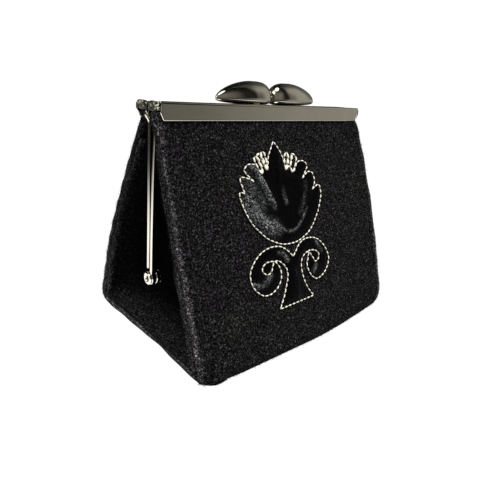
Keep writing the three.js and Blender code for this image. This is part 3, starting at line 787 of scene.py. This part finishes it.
footFolds = [
    (0.4, 1.0, 0.5, 0.9, 0.7, [(-6.5, 37.7), (-4.3, 36.6), (-2.9, 34.2)]),
    (0.35, 1.1, 0.45, 1.2, 1.0, [(-20.2, 28.1), (-17.4, 27.4), (-14.5, 28.4), (-12.5, 30)]),
    (0.35, 0.9, 0.45, 0.8, 0.8, [(14.2, 38.5), (15.2, 36.6), (16.3, 34.7)]),
    (0.35, 0.9, 0.35, 0.9, 0.9, [(10.2, 27.2), (12.2, 29.5)]),
    (0.25, 1.4, 0.03, 1.0, 1.0, [(0.5, 30), (0, 20)]),
]


# a smooth line through points, by weights of the four nearest
def smoothLine(points, perPoint=14):
    p = np.asarray(points, float)
    if len(p) < 3:
        return mix(p[0], p[1], np.linspace(0, 1, perPoint * 2)[:, None])
    p = np.concatenate([p[:1], p, p[-1:]])
    t = np.linspace(0, 1, perPoint, endpoint=False)[None, :, None]
    a, b, c, d = p[:-3, None], p[1:-2, None], p[2:-1, None], p[3:, None]
    line = 0.5 * (2 * b + (c - a) * t + (2 * a - 5 * b + 4 * c - d) * t**2 + (3 * b - a - 3 * c + d) * t**3)
    return np.concatenate([line.reshape(-1, 2), p[-1:]])


# a flat line read at places along a scale of its own
def readLine(at, scale, line):
    return np.stack([np.interp(at, scale, line[:, k]) for k in (0, 1)], -1)


# a line cut into even steps
def evenLine(line, step):
    along = np.concatenate([[0], np.cumsum(np.linalg.norm(np.diff(line, axis=0), axis=1))])
    count = max(2, int(round(along[-1] / step)) + 1)
    return readLine(np.linspace(0, along[-1], count), along, line)


# the closed outline of all runs, one after the other
def fullOutline(runs, step=0.55):
    return np.concatenate([evenLine(smoothLine(run), step)[:-1] for run in runs])


# an outline with its first point again at its end
def closeLine(outline):
    return np.concatenate([outline, outline[:1]])


# the least distance from points to the pieces of a line, counted below zero on its right
def lineDistance(points, line):
    a, b = line[:-1], line[1:]
    way = b - a
    t = ((points[:, None] - a) * way).sum(-1) / np.maximum((way**2).sum(-1), 1e-9)
    off = points[:, None] - (a + way * np.clip(t, 0, 1)[..., None])
    gap = np.linalg.norm(off, axis=-1)
    near = gap.argmin(1)
    pick = np.arange(len(points))
    side = way[near, 0] * off[pick, near, 1] - way[near, 1] * off[pick, near, 0]
    return gap[pick, near] * np.where(side < 0, -1.0, 1.0)


# a place on a panel's face, so far across, up and away from it, with the panel's normal
def onPanel(side, x, z, away):
    normal = unit(np.stack([0 * x, side + 0 * x, -side * panelLean(side, x, z)], -1))
    middle = np.stack([x, panelY(side, x, z), z], -1)
    return middle + normal * (halfFelt + panelRelief(side, x, z) + away)[..., None], normal


# a place of the flower's own drawing, laid on the front panel
def onFront(flat, away):
    z = (motif["middle"] + (flat[..., 1] - motif["middle"]) * motif["scale"]) * motif["lean"]
    return onPanel(-1, flat[..., 0] * motif["scale"] + motif["shift"], z, away)


# the satin's height off the felt and its painted sheen: puffed up away from the sewn outline, with folds,
# small puckers at the edge, and pressed down along any line sewn through it
def satinRise(flat, outline, folds, puff, sewn):
    x, y = flat[:, 0], flat[:, 1]
    off = np.abs(lineDistance(flat, closeLine(outline)))
    rise = puff * (1 - np.exp(-(off / 1.7) ** 1.4))
    paintedSheen = np.zeros(len(flat))
    # painted sheen along each fold, reaching further on its lit left side
    for height, half, sheenLevel, left, right, line in folds:
        away = lineDistance(flat, smoothLine(line, 8))
        rise = rise + height * bell(away, 0, half) * softStep(0, 1.6, off)
        paintedSheen = np.maximum(paintedSheen, sheenLevel * np.exp(-(np.abs(away) / np.where(away < 0, left, right)) ** 2.5))
    pucker = np.sin(x * 2.6 + np.sin(y * 1.3) * 2) * np.sin(y * 2.2)
    rise = rise + motif["pucker"] * pucker * softStep(0, 0.8, off) * np.exp(-off / 3.5)
    for line in sewn:
        rise = rise * (1 - 0.75 * bell(lineDistance(flat, line), 0, 0.8))
    blotch = 0.75 + 0.35 * np.sin(x * 0.9 + 1) * np.sin(y * 0.7 + x * 0.35)
    return motif["gap"] + motif["satin"] + rise, np.clip(paintedSheen * blotch, 0, 1)


# satin cut to an outline: triangles over its flat shape, raised, with a flat underside and a thin wall
def satinShell(outline, folds, puff, sewn):
    low, high = outline.min(0), outline.max(0)
    step = motif["spacing"]
    u, v = np.meshgrid(np.arange(low[0], high[0], step), np.arange(low[1], high[1], step * 0.866))
    u = u + (np.arange(len(u)) % 2)[:, None] * step / 2
    inside = np.stack([u.ravel(), v.ravel()], -1)
    inside = inside[np.abs(lineDistance(inside, closeLine(outline))) > step * 0.55]
    count = len(outline)
    ring = np.arange(count)
    rimLines = np.stack([ring, (ring + 1) % count], -1).tolist()
    cloud = np.concatenate([outline, inside]).tolist()
    flat, _, triangles, *_ = delaunay_2d_cdt(cloud, rimLines, [ring.tolist()], 1, 1e-5)
    flat, triangles = np.array(flat, float), np.array(triangles)
    rise, paintedSheen = satinRise(flat, outline, folds, puff, sewn)
    top = onFront(flat, rise)[0]
    under = onFront(flat, np.full(len(flat), motif["gap"]))[0]
    edges = np.sort(triangles[:, [0, 1, 1, 2, 2, 0]].reshape(-1, 2), 1)
    pairs, times = np.unique(edges, axis=0, return_counts=True)
    rim = pairs[times == 1]
    size = len(flat)
    wall = np.stack([rim[:, 0], rim[:, 1], rim[:, 1] + size, rim[:, 0] + size], -1)
    corner = flat[triangles]
    first, second = corner[:, 1] - corner[:, 0], corner[:, 2] - corner[:, 0]
    area = np.abs(first[:, 0] * second[:, 1] - first[:, 1] * second[:, 0]).sum() / 2 * motif["scale"] ** 2
    shell = (np.concatenate([top, under]), [triangles, triangles[:, ::-1] + size, wall])
    return shell, np.concatenate([paintedSheen, paintedSheen]), area


eyeLines = [smoothLine(run) for run in eyeRuns]
flowerCut = {"outline": fullOutline(flowerRuns), "folds": flowerFolds, "puff": motif["flowerPuff"],
             "sewn": []}
footCut = {"outline": fullOutline(footRuns), "folds": footFolds, "puff": motif["footPuff"],
           "sewn": eyeLines}
for name, node, cut, flatSize in (("satinFlower", "applique_flower", flowerCut, motif["flowerFlat"]),
                                  ("satinFoot", "applique_foot", footCut, motif["footFlat"])):
    shell, paintedSheen, area = satinShell(**cut)
    satinPiece = makePiece(name, [shell], blackSatin, [node], sharpAngle=50, tone=paintedSheen)

# cream stitches

stitch = {"rings": 11, "sides": 8, "endShare": 0.35, "ply": 0.1, "twist": 2.6}
creamSewing = {"length": 2.1, "rayLength": 2.4,
               "outline": {"thick": 0.24, "over": 0.8, "sink": 0.3},
               "eye": {"thick": 0.24, "over": 0.12, "sink": -0.3},
               "ray": {"thick": 0.36, "over": 0.85, "sink": 0.5}}


# how high a stitch stands along its length, from nothing at its ends to one
def stitchArch():
    return np.sin(np.linspace(0, 1, stitch["rings"]) * math.pi) ** 0.5


# the stitches' height along them, one number for each point, which the thread turns into painted shade at
# their ends
def stitchDipShade(shells):
    arch = stitchArch()[None, :, None]
    return np.concatenate([np.broadcast_to(arch, points.shape[:3]).ravel() for points, faces in shells])


# one tube for each stitch: it comes up out of the cloth, arches along the line and goes down again,
# its two plies turning about it; the ground gives the cloth's own height under a place
def stitchShells(lines, onCloth, thick, over, sink, ground=None):
    rings, sides = stitch["rings"], stitch["sides"]
    t = np.linspace(0, 1, rings)
    arch = stitchArch()
    flat = np.stack([readLine(t, np.linspace(0, 1, len(line)), line) for line in lines])
    away = np.broadcast_to(mix(sink, over, arch), flat.shape[:2])
    if ground:
        away = away + ground(flat.reshape(-1, 2)).reshape(away.shape)
    centres, normals = onCloth(flat, away)
    along = unit(np.gradient(centres, axis=1))
    side = unit(np.cross(along, normals))
    up = np.cross(side, along)
    turn = turns(sides)
    twist = t[None, :, None] * runLength(flat, 1)[:, None, None] * stitch["twist"]
    plies = 1 + stitch["ply"] * np.cos(2 * (turn + twist))
    radius = thick * mix(stitch["endShare"], 1.0, arch)[None, :, None] * plies
    points = (centres[:, :, None] + side[:, :, None] * (radius * np.cos(turn))[..., None]
              + up[:, :, None] * (radius * np.sin(turn))[..., None])
    size = rings * sides
    start = np.arange(len(lines))[:, None, None] * size
    quads = (gridQuads(rings, sides, True)[None] + start).reshape(-1, 4)
    first = (np.arange(sides)[None, None] + start).reshape(-1, sides)
    return points, [quads, first, first + size - sides]


# a run cut into stitches of about one length, each a short line that ends where the next begins
def cutStitches(line, length, share=0.99):
    fine = evenLine(line, 0.15)
    count = max(1, int(round(runLength(fine, 0) / length)))
    at = np.linspace(0, len(fine) - 1, count + 1)
    t = np.linspace((1 - share) / 2, (1 + share) / 2, 7)
    places = mix(at[:-1, None], at[1:, None], t)
    return [readLine(p, np.arange(len(fine)), fine) for p in places]


# the stitches of several lines
def allStitches(lines, length):
    return [s for line in lines for s in cutStitches(line, length)]


# the satin foot's own height under a place
def footGround(flat):
    return satinRise(flat, **footCut)[0]


# the flower's two straight runs lie under the rays and have no stitches of their own
sewnRuns = [run for run in flowerRuns if len(run) > 2] + footRuns
outlineStitches = allStitches([smoothLine(run) for run in sewnRuns], creamSewing["length"])
eyeStitches = allStitches(eyeLines, creamSewing["length"])
rayStitches = allStitches([smoothLine(run) for run in rayRuns], creamSewing["rayLength"])
creamShells = [
    stitchShells(outlineStitches, onFront, **creamSewing["outline"]),
    stitchShells(eyeStitches, onFront, **creamSewing["eye"], ground=footGround),
    stitchShells(rayStitches, onFront, **creamSewing["ray"]),
]
makePiece("creamStitches", creamShells, creamThread, tone=stitchDipShade(creamShells))

# black seam stitches

seamSewing = {"length": 3.2, "share": 0.86, "low": 8, "look": {"thick": 0.17, "over": 0.0, "sink": -0.3}}


# a place by the sewn groove of the front (-1) or back (1) panel
def onSeam(side):
    return lambda flat, away: onPanel(side, flat[..., 0], flat[..., 1], away)


seamShells = []
for side in (-1, 1):
    lines = []
    for end in (-1, 1):
        z = np.linspace(seamSewing["low"], gusset["top"], 80)
        seam = np.stack([middleX(z) + end * (halfWidth(z, end) - reliefSizes["grooveIn"]), z], -1)
        lines += cutStitches(seam, seamSewing["length"], seamSewing["share"])
    seamShells.append(stitchShells(lines, onSeam(side), **seamSewing["look"]))
makePiece("seamStitches", seamShells, seamThread, tone=stitchDipShade(seamShells))
print("sewing done")

# frame bars with arms

arms = {"wide": 3.6, "inset": 1.35, "near": 0.55, "far": 1.56, "top": 83.5, "hinge": 26.7, "eye": 2.5,
        "bore": 1.6, "eyeWide": 1.7, "spread": {-1: 1.6, 1: 0.4}, "elbow": 1.2}
armOut = bars["length"] / 2 - arms["inset"]
hemZ = lipZ + bars["hemUp"]


# a bar's sheet as a bent line: up its face, round the top, down its inner wall, as distance out and height
def barLine():
    half = bars["sheet"] / 2
    far, near, top = bars["halfDepth"] - half, bars["halfGap"] + half, bars["top"] - half
    bend = np.linspace(0, math.pi / 2, 7)
    big, small = bars["bends"]
    face = np.stack([np.full(22, far), np.linspace(hemZ, top - big, 22)], -1)
    outerBend = np.stack([far - big + big * np.cos(bend), top - big + big * np.sin(bend)], -1)[1:]
    flat = np.stack([np.linspace(far - big, near + small, 8), np.full(8, top)], -1)[1:]
    innerBend = np.stack([near + small - small * np.sin(bend), top - small + small * np.cos(bend)], -1)[1:]
    wall = np.stack([np.full(12, near), np.linspace(top - small, hemZ, 12)], -1)[1:]
    return np.concatenate([face, outerBend, flat, innerBend, wall])


# the line carried along the bar: its lower corners clipped, the front face's left end cut back on a slant,
# and its face's top edge raised a little on the front bar, or lowered on the back one, fading out to the
# inner wall
def barShell(side):
    line = barLine()
    half = bars["length"] / 2 - 0.25
    x = np.concatenate([np.linspace(-half, -half + 2.2, 9), np.linspace(-half + 2.6, half - 2.6, 60),
                        np.linspace(half - 2.2, half, 9)])
    rise = np.clip(np.abs(x) - (bars["length"] / 2 - bars["clip"]), 0, None)[None] * 1.5
    if side < 0:
        rise = rise * (x > 0)
    z = line[:, 1][:, None] + 0 * rise
    z = z + rise * (1 - np.clip((z - lipZ) / 3.2, 0, 1))
    left, right = bars["frontRise"] if side < 0 else (-bars["backDrop"], -bars["backDrop"])
    outer = np.clip((line[:, 0] - bars["halfGap"]) / (bars["halfDepth"] - bars["halfGap"]), 0, 1)[:, None]
    upper = np.clip((z - lipZ) / bars["height"], 0, 1)
    z = z + mix(left, right, (x[None] + half) / (2 * half)) * outer * upper
    y = bars["middleY"] + side * line[:, 0][:, None] + 0 * z
    straight, slant = bars["leftCut"] if side < 0 else (0, 0)
    cut = (straight + slant * (1 - upper)) * softStep(4 - half, -half, x) * outer
    middle = np.stack([bars["middleX"] + x[None] + cut, y, z], -1)
    normals = gridNormals(middle)
    normals *= np.sign(normals[10, 30, 1] * side)  # out of the bar's face
    return sheetShell(middle, normals, bars["sheet"], 0.25)


# the rolled hem: a round wire's shape along the face's lower edge, up the clipped corners and the ends
def hemShell(side):
    half, clip, high = bars["length"] / 2 - 0.1, bars["clip"], bars["top"] - 0.7
    left = bars["leftCut"][0] - 0.15 - half if side < 0 else -half
    corners = np.array([(left, high), (left, hemZ + clip * 1.5), (left + 1.1, hemZ),
                        (half - clip, hemZ), (half, hemZ + clip * 1.5), (half, high)])
    path = np.concatenate([mix(a, b, np.linspace(0, 1, 12, endpoint=False)[:, None])
                           for a, b in zip(corners[:-1], corners[1:])] + [corners[-1:]])
    y = np.full(len(path), bars["middleY"] + side * (bars["halfDepth"] - 0.06))
    centres = np.stack([bars["middleX"] + path[:, 0], y, path[:, 1]], -1)
    along = unit(np.gradient(centres, axis=0))
    out = side * alongY
    return tubeShell(centres, unit(np.cross(along, out)), out, bars["hem"], bars["hem"], 14)


# the middle of an arm's eye along the bar: the front arm's outside, the back arm's inside
def eyeMiddle(side):
    return armOut - arms["eyeWide"] / 2 if side < 0 else armOut - arms["wide"] + arms["eyeWide"] / 2


# an arm: a flat strip with soft corners, bent out to its bar and its bar's end, and narrowed to its eye at
# the foot
def armShell(side, end):
    hinge = arms["hinge"]
    z = np.concatenate([np.linspace(arms["top"], 76, 16), np.linspace(75, hinge + 4.4, 24),
                        np.linspace(hinge + 4.0, hinge + 1.6, 8)])
    narrow = softStep(hinge + 3.6, hinge + 2.4, z)
    elbow = arms["elbow"] * softStep(80.0, 82.4, z)
    x = bars["middleX"] + end * (mix(armOut - arms["wide"] / 2, eyeMiddle(side), narrow) + elbow)
    halfWide = mix(arms["wide"] / 2, arms["eyeWide"] / 2, narrow)
    climb = np.clip((z - hinge) / (arms["top"] - hinge), 0, 1)
    off = (arms["near"] + arms["far"]) / 2 + arms["spread"][side] * climb**3
    centres = np.stack([x, bars["middleY"] + side * off, z], -1)
    halfThick = (arms["far"] - arms["near"]) / 2
    return tubeShell(centres, alongX, alongY, halfWide, halfThick, 24, 0.6)


# an eye: a thick ring about the hinge line with rounded faces
def eyeShell(side, end):
    mid, ring = (arms["eye"] + arms["bore"]) / 2, (arms["eye"] - arms["bore"]) / 2
    c, s = (signedPower(f(turns(16)), 0.6) for f in (np.cos, np.sin))
    along = bars["middleX"] + end * eyeMiddle(side) + arms["eyeWide"] / 2 * s
    return turnedShell(np.stack([mid + ring * c, along], -1), bars["middleY"], arms["hinge"], 40)


for name, node, side in (("barFront", "frame_front", -1), ("barBack", "frame_back", 1)):
    shells = [barShell(side), hemShell(side)]
    for end in (-1, 1):
        shells += [armShell(side, end), eyeShell(side, end)]
    makePiece(name, shells, polishedNickel, [node], sharpAngle=35)

# hinge rivets

rivets = {"shank": 1.35, "bore": 0.95, "head": 2.3, "thick": 0.5, "gap": 0.25}


# a hollow rivet: shank and two domed heads as one closed section
def rivetShell(end):
    thick = rivets["thick"]
    outside = armOut + rivets["gap"] + thick
    inside = armOut - arms["wide"] - rivets["gap"] - thick
    ringMid, ringHalf = (rivets["head"] + rivets["bore"]) / 2, (rivets["head"] - rivets["bore"]) / 2
    bow = np.linspace(0, math.pi, 11)
    outer = np.stack([ringMid + ringHalf * np.cos(bow), outside - thick * (1 - np.sin(bow))], -1)
    inner = np.stack([ringMid - ringHalf * np.cos(bow), inside + thick * (1 - np.sin(bow))], -1)
    shank = np.array([[rivets["shank"], inside + thick], [rivets["shank"], outside - thick]])
    section = np.concatenate([inner, shank, outer])
    section[:, 1] = bars["middleX"] + end * section[:, 1]
    return turnedShell(section, bars["middleY"], arms["hinge"], 32)


for sideName, end in (("Left", -1), ("Right", 1)):
    node = "rivet_" + sideName.lower()
    makePiece("rivet" + sideName, [rivetShell(end)], polishedNickel, [node], sharpAngle=40)

# clasp beads

bead = {"middle": 0.3, "inner": 0.3, "length": 24.8, "peak": 0.38, "halfWidth": 4.8, "rim": 88.2, "up": 6.2,
        "down": 1.85, "rings": 72, "around": 64, "postX": 8.5, "postOff": 2.6, "postRadius": 1.2}


# a bead's fullness along its length: a blunt end, the peak, a drawn-out tip with a small round end
def fullness(t):
    blunt = np.sqrt(np.clip(1 - (np.clip(bead["peak"] - t, 0, None) / bead["peak"]) ** 4, 0, None))
    u = np.clip((t - bead["peak"]) / (1 - bead["peak"]), 0, 1)
    drawn = 0.86 * (1 - u**1.75) ** 0.8 + 0.14 * np.sqrt(1 - u**10)
    return blunt * drawn


# half an egg lying on its side: rings of points, higher above its rim than below, its underside full to
# its ends
def beadShell(end):
    t = np.clip(0.5 - 0.5 * np.cos(np.linspace(0, math.pi, bead["rings"])), 0.0006, 0.9994)
    full = fullness(t)[:, None]
    turn = turns(bead["around"])[None]
    high = np.where(np.sin(turn) > 0, bead["up"] * full, bead["down"] * full**0.45)
    y = bars["middleY"] + bead["halfWidth"] * full * np.cos(turn)
    z = bead["rim"] + high * np.sin(turn)
    x = bead["middle"] + end * (bead["inner"] + t * bead["length"])[:, None] + 0 * z
    return ringsShell(np.stack([x, y, z], -1))


# a bead's post: rings that flare out at the bar
def postShell(end, side):
    turn = turns(24)
    levels = np.linspace(bars["top"] + 0.05, bead["rim"], 5)
    flare = bead["postRadius"] * (1 + 0.35 * np.exp(-(levels - levels[0]) / 0.35))[:, None]
    x = bead["middle"] + end * bead["postX"] + np.cos(turn) * flare
    y = bars["middleY"] + side * bead["postOff"] + np.sin(turn) * flare
    return ringsShell(np.stack([x, y, levels[:, None] + 0 * x], -1))


for name, node, end, side in (("beadFront", "bead_front", -1, -1), ("beadBack", "bead_back", 1, 1)):
    makePiece(name, [beadShell(end), postShell(end, side)], polishedNickel, [node])

# paper cords in the bars

paper = {"near": 1.25, "far": 5.65, "low": 83.75, "high": 85.6, "knot": (0.95, 2.4, 1.0), "knotZ": 85.85,
         "knotWave": 0.14, "ends": {-1: (0.45, 0.55), 1: (0.9, -0.3)}, "backTop": 0.2}


# the middle of a bar's cord, in depth
def paperY(side):
    return bars["middleY"] + side * (paper["near"] + paper["far"]) / 2


# a flattened cord along the bar
def paperShell(side):
    x = bars["middleX"] + np.linspace(-bars["length"] / 2, bars["length"] / 2, 40)
    centres = np.stack([x, paperY(side) + 0 * x, (paper["low"] + paper["high"]) / 2 + 0 * x], -1)
    wide, tall = (paper["far"] - paper["near"]) / 2, (paper["high"] - paper["low"]) / 2
    return tubeShell(centres, alongY, alongZ, wide, tall, 26, 0.75)


# the cord's glued end: a ball drawn out sideways, its surface pushed in and out by crossed waves
def knotShell(side, end):
    rise = np.linspace(0.02, math.pi - 0.02, 26)[:, None]
    turn = turns(36)[None]
    ball = np.stack([np.sin(rise) * np.cos(turn), np.sin(rise) * np.sin(turn), np.cos(rise) + 0 * turn], -1)
    a, b, c = ball[..., 0], ball[..., 1], ball[..., 2]
    wave = np.sin(7 * b + 3 * c + side) * np.sin(6 * c - 4 * a + end)
    wave = wave + 0.6 * np.sin(13 * b - 5 * a) * np.sin(11 * c + 2)
    ball = signedPower(ball, 0.85) * (1 + paper["knotWave"] * wave)[..., None] * np.array(paper["knot"])
    out, top = paper["ends"][end]
    points = ball + (bars["middleX"] + end * (bars["length"] / 2 - out), paperY(side), paper["knotZ"])
    highest = bars["top"] + (top if side < 0 else min(top, paper["backTop"]))
    points[..., 2] = np.minimum(points[..., 2], highest)
    return ringsShell(points)


for name, node, side in (("paperFront", "filler_front", -1), ("paperBack", "filler_back", 1)):
    shells = [paperShell(side), knotShell(side, -1), knotShell(side, 1)]
    makePiece(name, shells, gluedPaper, [node])
print("metal and paper done")

# camera, light and floor

view = {"place": (-123.15, -129.45, 96.21), "yaw": 42.33, "pitch": -20.12, "roll": 4.90, "lens": 33.75}


# a turn and a place from three axes and a point in metres
def placedMatrix(right, up, back, place):
    turned = Matrix(np.stack([right, up, back], 1).tolist()).to_4x4()
    turned.translation = place
    return turned


# a camera that looks along a yaw and a pitch, rolled about its own line of sight
def makeCamera():
    yaw, pitch, roll = (math.radians(view[k]) for k in ("yaw", "pitch", "roll"))
    ahead = np.array([math.sin(yaw) * math.cos(pitch), math.cos(yaw) * math.cos(pitch), math.sin(pitch)])
    level = np.array([math.cos(yaw), -math.sin(yaw), 0.0])
    above = np.cross(level, ahead)
    right = math.cos(roll) * level + math.sin(roll) * above
    up = -math.sin(roll) * level + math.cos(roll) * above
    data = bpy.data.cameras.new("photoView")
    data.lens = view["lens"]
    data.sensor_width = 36.0
    data.clip_start = 0.01
    camera = bpy.data.objects.new("photoView", data)
    camera.matrix_world = placedMatrix(right, up, -ahead, [v * metres for v in view["place"]])
    bpy.context.scene.collection.objects.link(camera)
    bpy.context.scene.camera = camera


makeCamera()

floorLook = {"radius": 0.62, "matt": 0.03, "glow": 1.0,
             "sheet": [(0.16, 1.6), (0.27, 0.66), (0.34, 0.2), (0.42, 0.06), (0.5, 0.02), (0.58, 0.01)]}


# a round pale floor, lit from below like a light table, that what is polished sees fall off with distance
def makeFloor():
    turn = turns(96)
    points = np.stack([np.cos(turn), np.sin(turn), 0 * turn], -1) * floorLook["radius"]
    mesh = bpy.data.meshes.new("floor")
    mesh.from_pydata(points.tolist(), [], [list(range(96))])
    material, tree, shader = newMaterial("paleFloor")
    kind = addNode(tree, "ShaderNodeLightPath")
    far = addNode(tree, "ShaderNodeVectorMath", {0: ownPlace(tree)}, {"operation": "LENGTH"})
    shine = addRamp(tree, far.outputs["Value"], floorLook["sheet"])
    glow = addBlend(tree, "MIX", kind.outputs["Is Glossy Ray"], 0.0, shine)
    glow = addBlend(tree, "MIX", kind.outputs["Is Camera Ray"], glow, floorLook["glow"])
    feed(tree, shader, {"Base Color": asColour(floorLook["matt"]), "Emission Color": glow,
                        "Emission Strength": 1.0, "Roughness": 1.0, "Specular IOR Level": 0.0})
    mesh.materials.append(material)
    floor = bpy.data.objects.new("floor", mesh)
    bpy.context.scene.collection.objects.link(floor)


makeFloor()

# levels of light round the room, from behind by the left, the front and the right to behind again
studio = {"backdrop": 1.05, "above": 1.9, "keyPower": 5.0, "keySize": 0.3, "keyPlace": (0.05, -0.5, 0.72),
          "keyAim": (0.0, -0.02, 0.05), "lampWay": (-0.34, -0.05, 0.94), "lamp": 3.5,
          "mattWalls": [(0.0, 0.12), (0.16, 0.2), (0.25, 0.35), (0.36, 0.6), (0.5, 0.9), (0.62, 0.95),
                        (0.75, 0.5), (0.88, 0.2), (1.0, 0.12)],
          "lowWalls": [(0.0, 0.02), (0.14, 0.03), (0.18, 0.12), (0.25, 0.12), (0.32, 0.07), (0.46, 0.05),
                       (0.56, 0.085), (0.6, 0.175), (0.63, 0.3), (0.66, 0.36), (0.78, 0.38), (0.9, 0.08)],
          "highWalls": [(0.0, 0.05), (0.15, 0.1), (0.18, 2.4), (0.245, 2.4), (0.28, 0.22), (0.36, 0.17),
                        (0.46, 0.2), (0.52, 0.13), (0.56, 0.02), (0.61, 0.015), (0.655, 0.36), (0.71, 0.42),
                        (0.76, 0.16), (0.86, 0.04), (1.0, 0.04)]}


# levels of light at places as slightly warm greys
def warmStops(stops):
    return [(place, (level, level * 0.975, level * 0.85)) for place, level in stops]


# a white backdrop, soft light from the front and above for what is matt, and a dim room for what is polished
def makeWorld():
    world = bpy.data.worlds.new("studio")
    bpy.context.scene.world = world
    world.use_nodes = True
    tree = world.node_tree
    tree.nodes.clear()
    way = addNode(tree, "ShaderNodeTexCoord").outputs["Generated"]
    x, y, z = addNode(tree, "ShaderNodeSeparateXYZ", {0: way}).outputs
    turn = addMath(tree, "ARCTAN2", x, addMath(tree, "MULTIPLY", y, -1.0))
    around = addMath(tree, "ADD", addMath(tree, "MULTIPLY", turn, 1 / (2 * math.pi)), 0.5)
    lowWalls = addRamp(tree, around, warmStops(studio["lowWalls"]))
    highWalls = addRamp(tree, around, warmStops(studio["highWalls"]))
    walls = addBlend(tree, "MIX", addRamp(tree, z, [(0.03, 0.0), (0.12, 1.0)]), lowWalls, highWalls)
    ceiling = addRamp(tree, z, [(0.6, 1.0), (0.82, 0.25), (1.0, 0.08)])
    room = addBlend(tree, "MULTIPLY", 1.0, walls, ceiling)
    toLamp = addNode(tree, "ShaderNodeVectorMath", {0: way, 1: studio["lampWay"]},
                     {"operation": "DOT_PRODUCT"})
    lamp = addRamp(tree, toLamp.outputs["Value"], [(0.955, 0.0), (0.975, 1.0)])
    room = addBlend(tree, "MIX", lamp, room, studio["lamp"])
    upper = addRamp(tree, z, [(0.3, 0.0), (0.9, 1.0)])
    soft = addBlend(tree, "MIX", upper, addRamp(tree, around, studio["mattWalls"]), studio["above"])
    kind = addNode(tree, "ShaderNodeLightPath")
    colour = addBlend(tree, "MIX", kind.outputs["Is Glossy Ray"], soft, room)
    colour = addBlend(tree, "MIX", kind.outputs["Is Camera Ray"], colour, studio["backdrop"])
    background = addNode(tree, "ShaderNodeBackground", {"Color": colour, "Strength": 1.0})
    addNode(tree, "ShaderNodeOutputWorld", {"Surface": background.outputs[0]})


makeWorld()


# a round softbox that faces a point
def makeLight(name, place, aim, size, power):
    data = bpy.data.lights.new(name, "AREA")
    data.shape = "DISK"
    data.size = size
    data.energy = power
    light = bpy.data.objects.new(name, data)
    back = unit(np.array(place) - np.array(aim))
    side = unit(np.cross(alongZ, back))
    light.matrix_world = placedMatrix(side, np.cross(back, side), back, place)
    light.visible_glossy = False
    bpy.context.scene.collection.objects.link(light)


makeLight("keySoftbox", studio["keyPlace"], studio["keyAim"], studio["keySize"], studio["keyPower"])
bpy.context.scene.view_settings.view_transform = "Standard"
print("camera and light set")
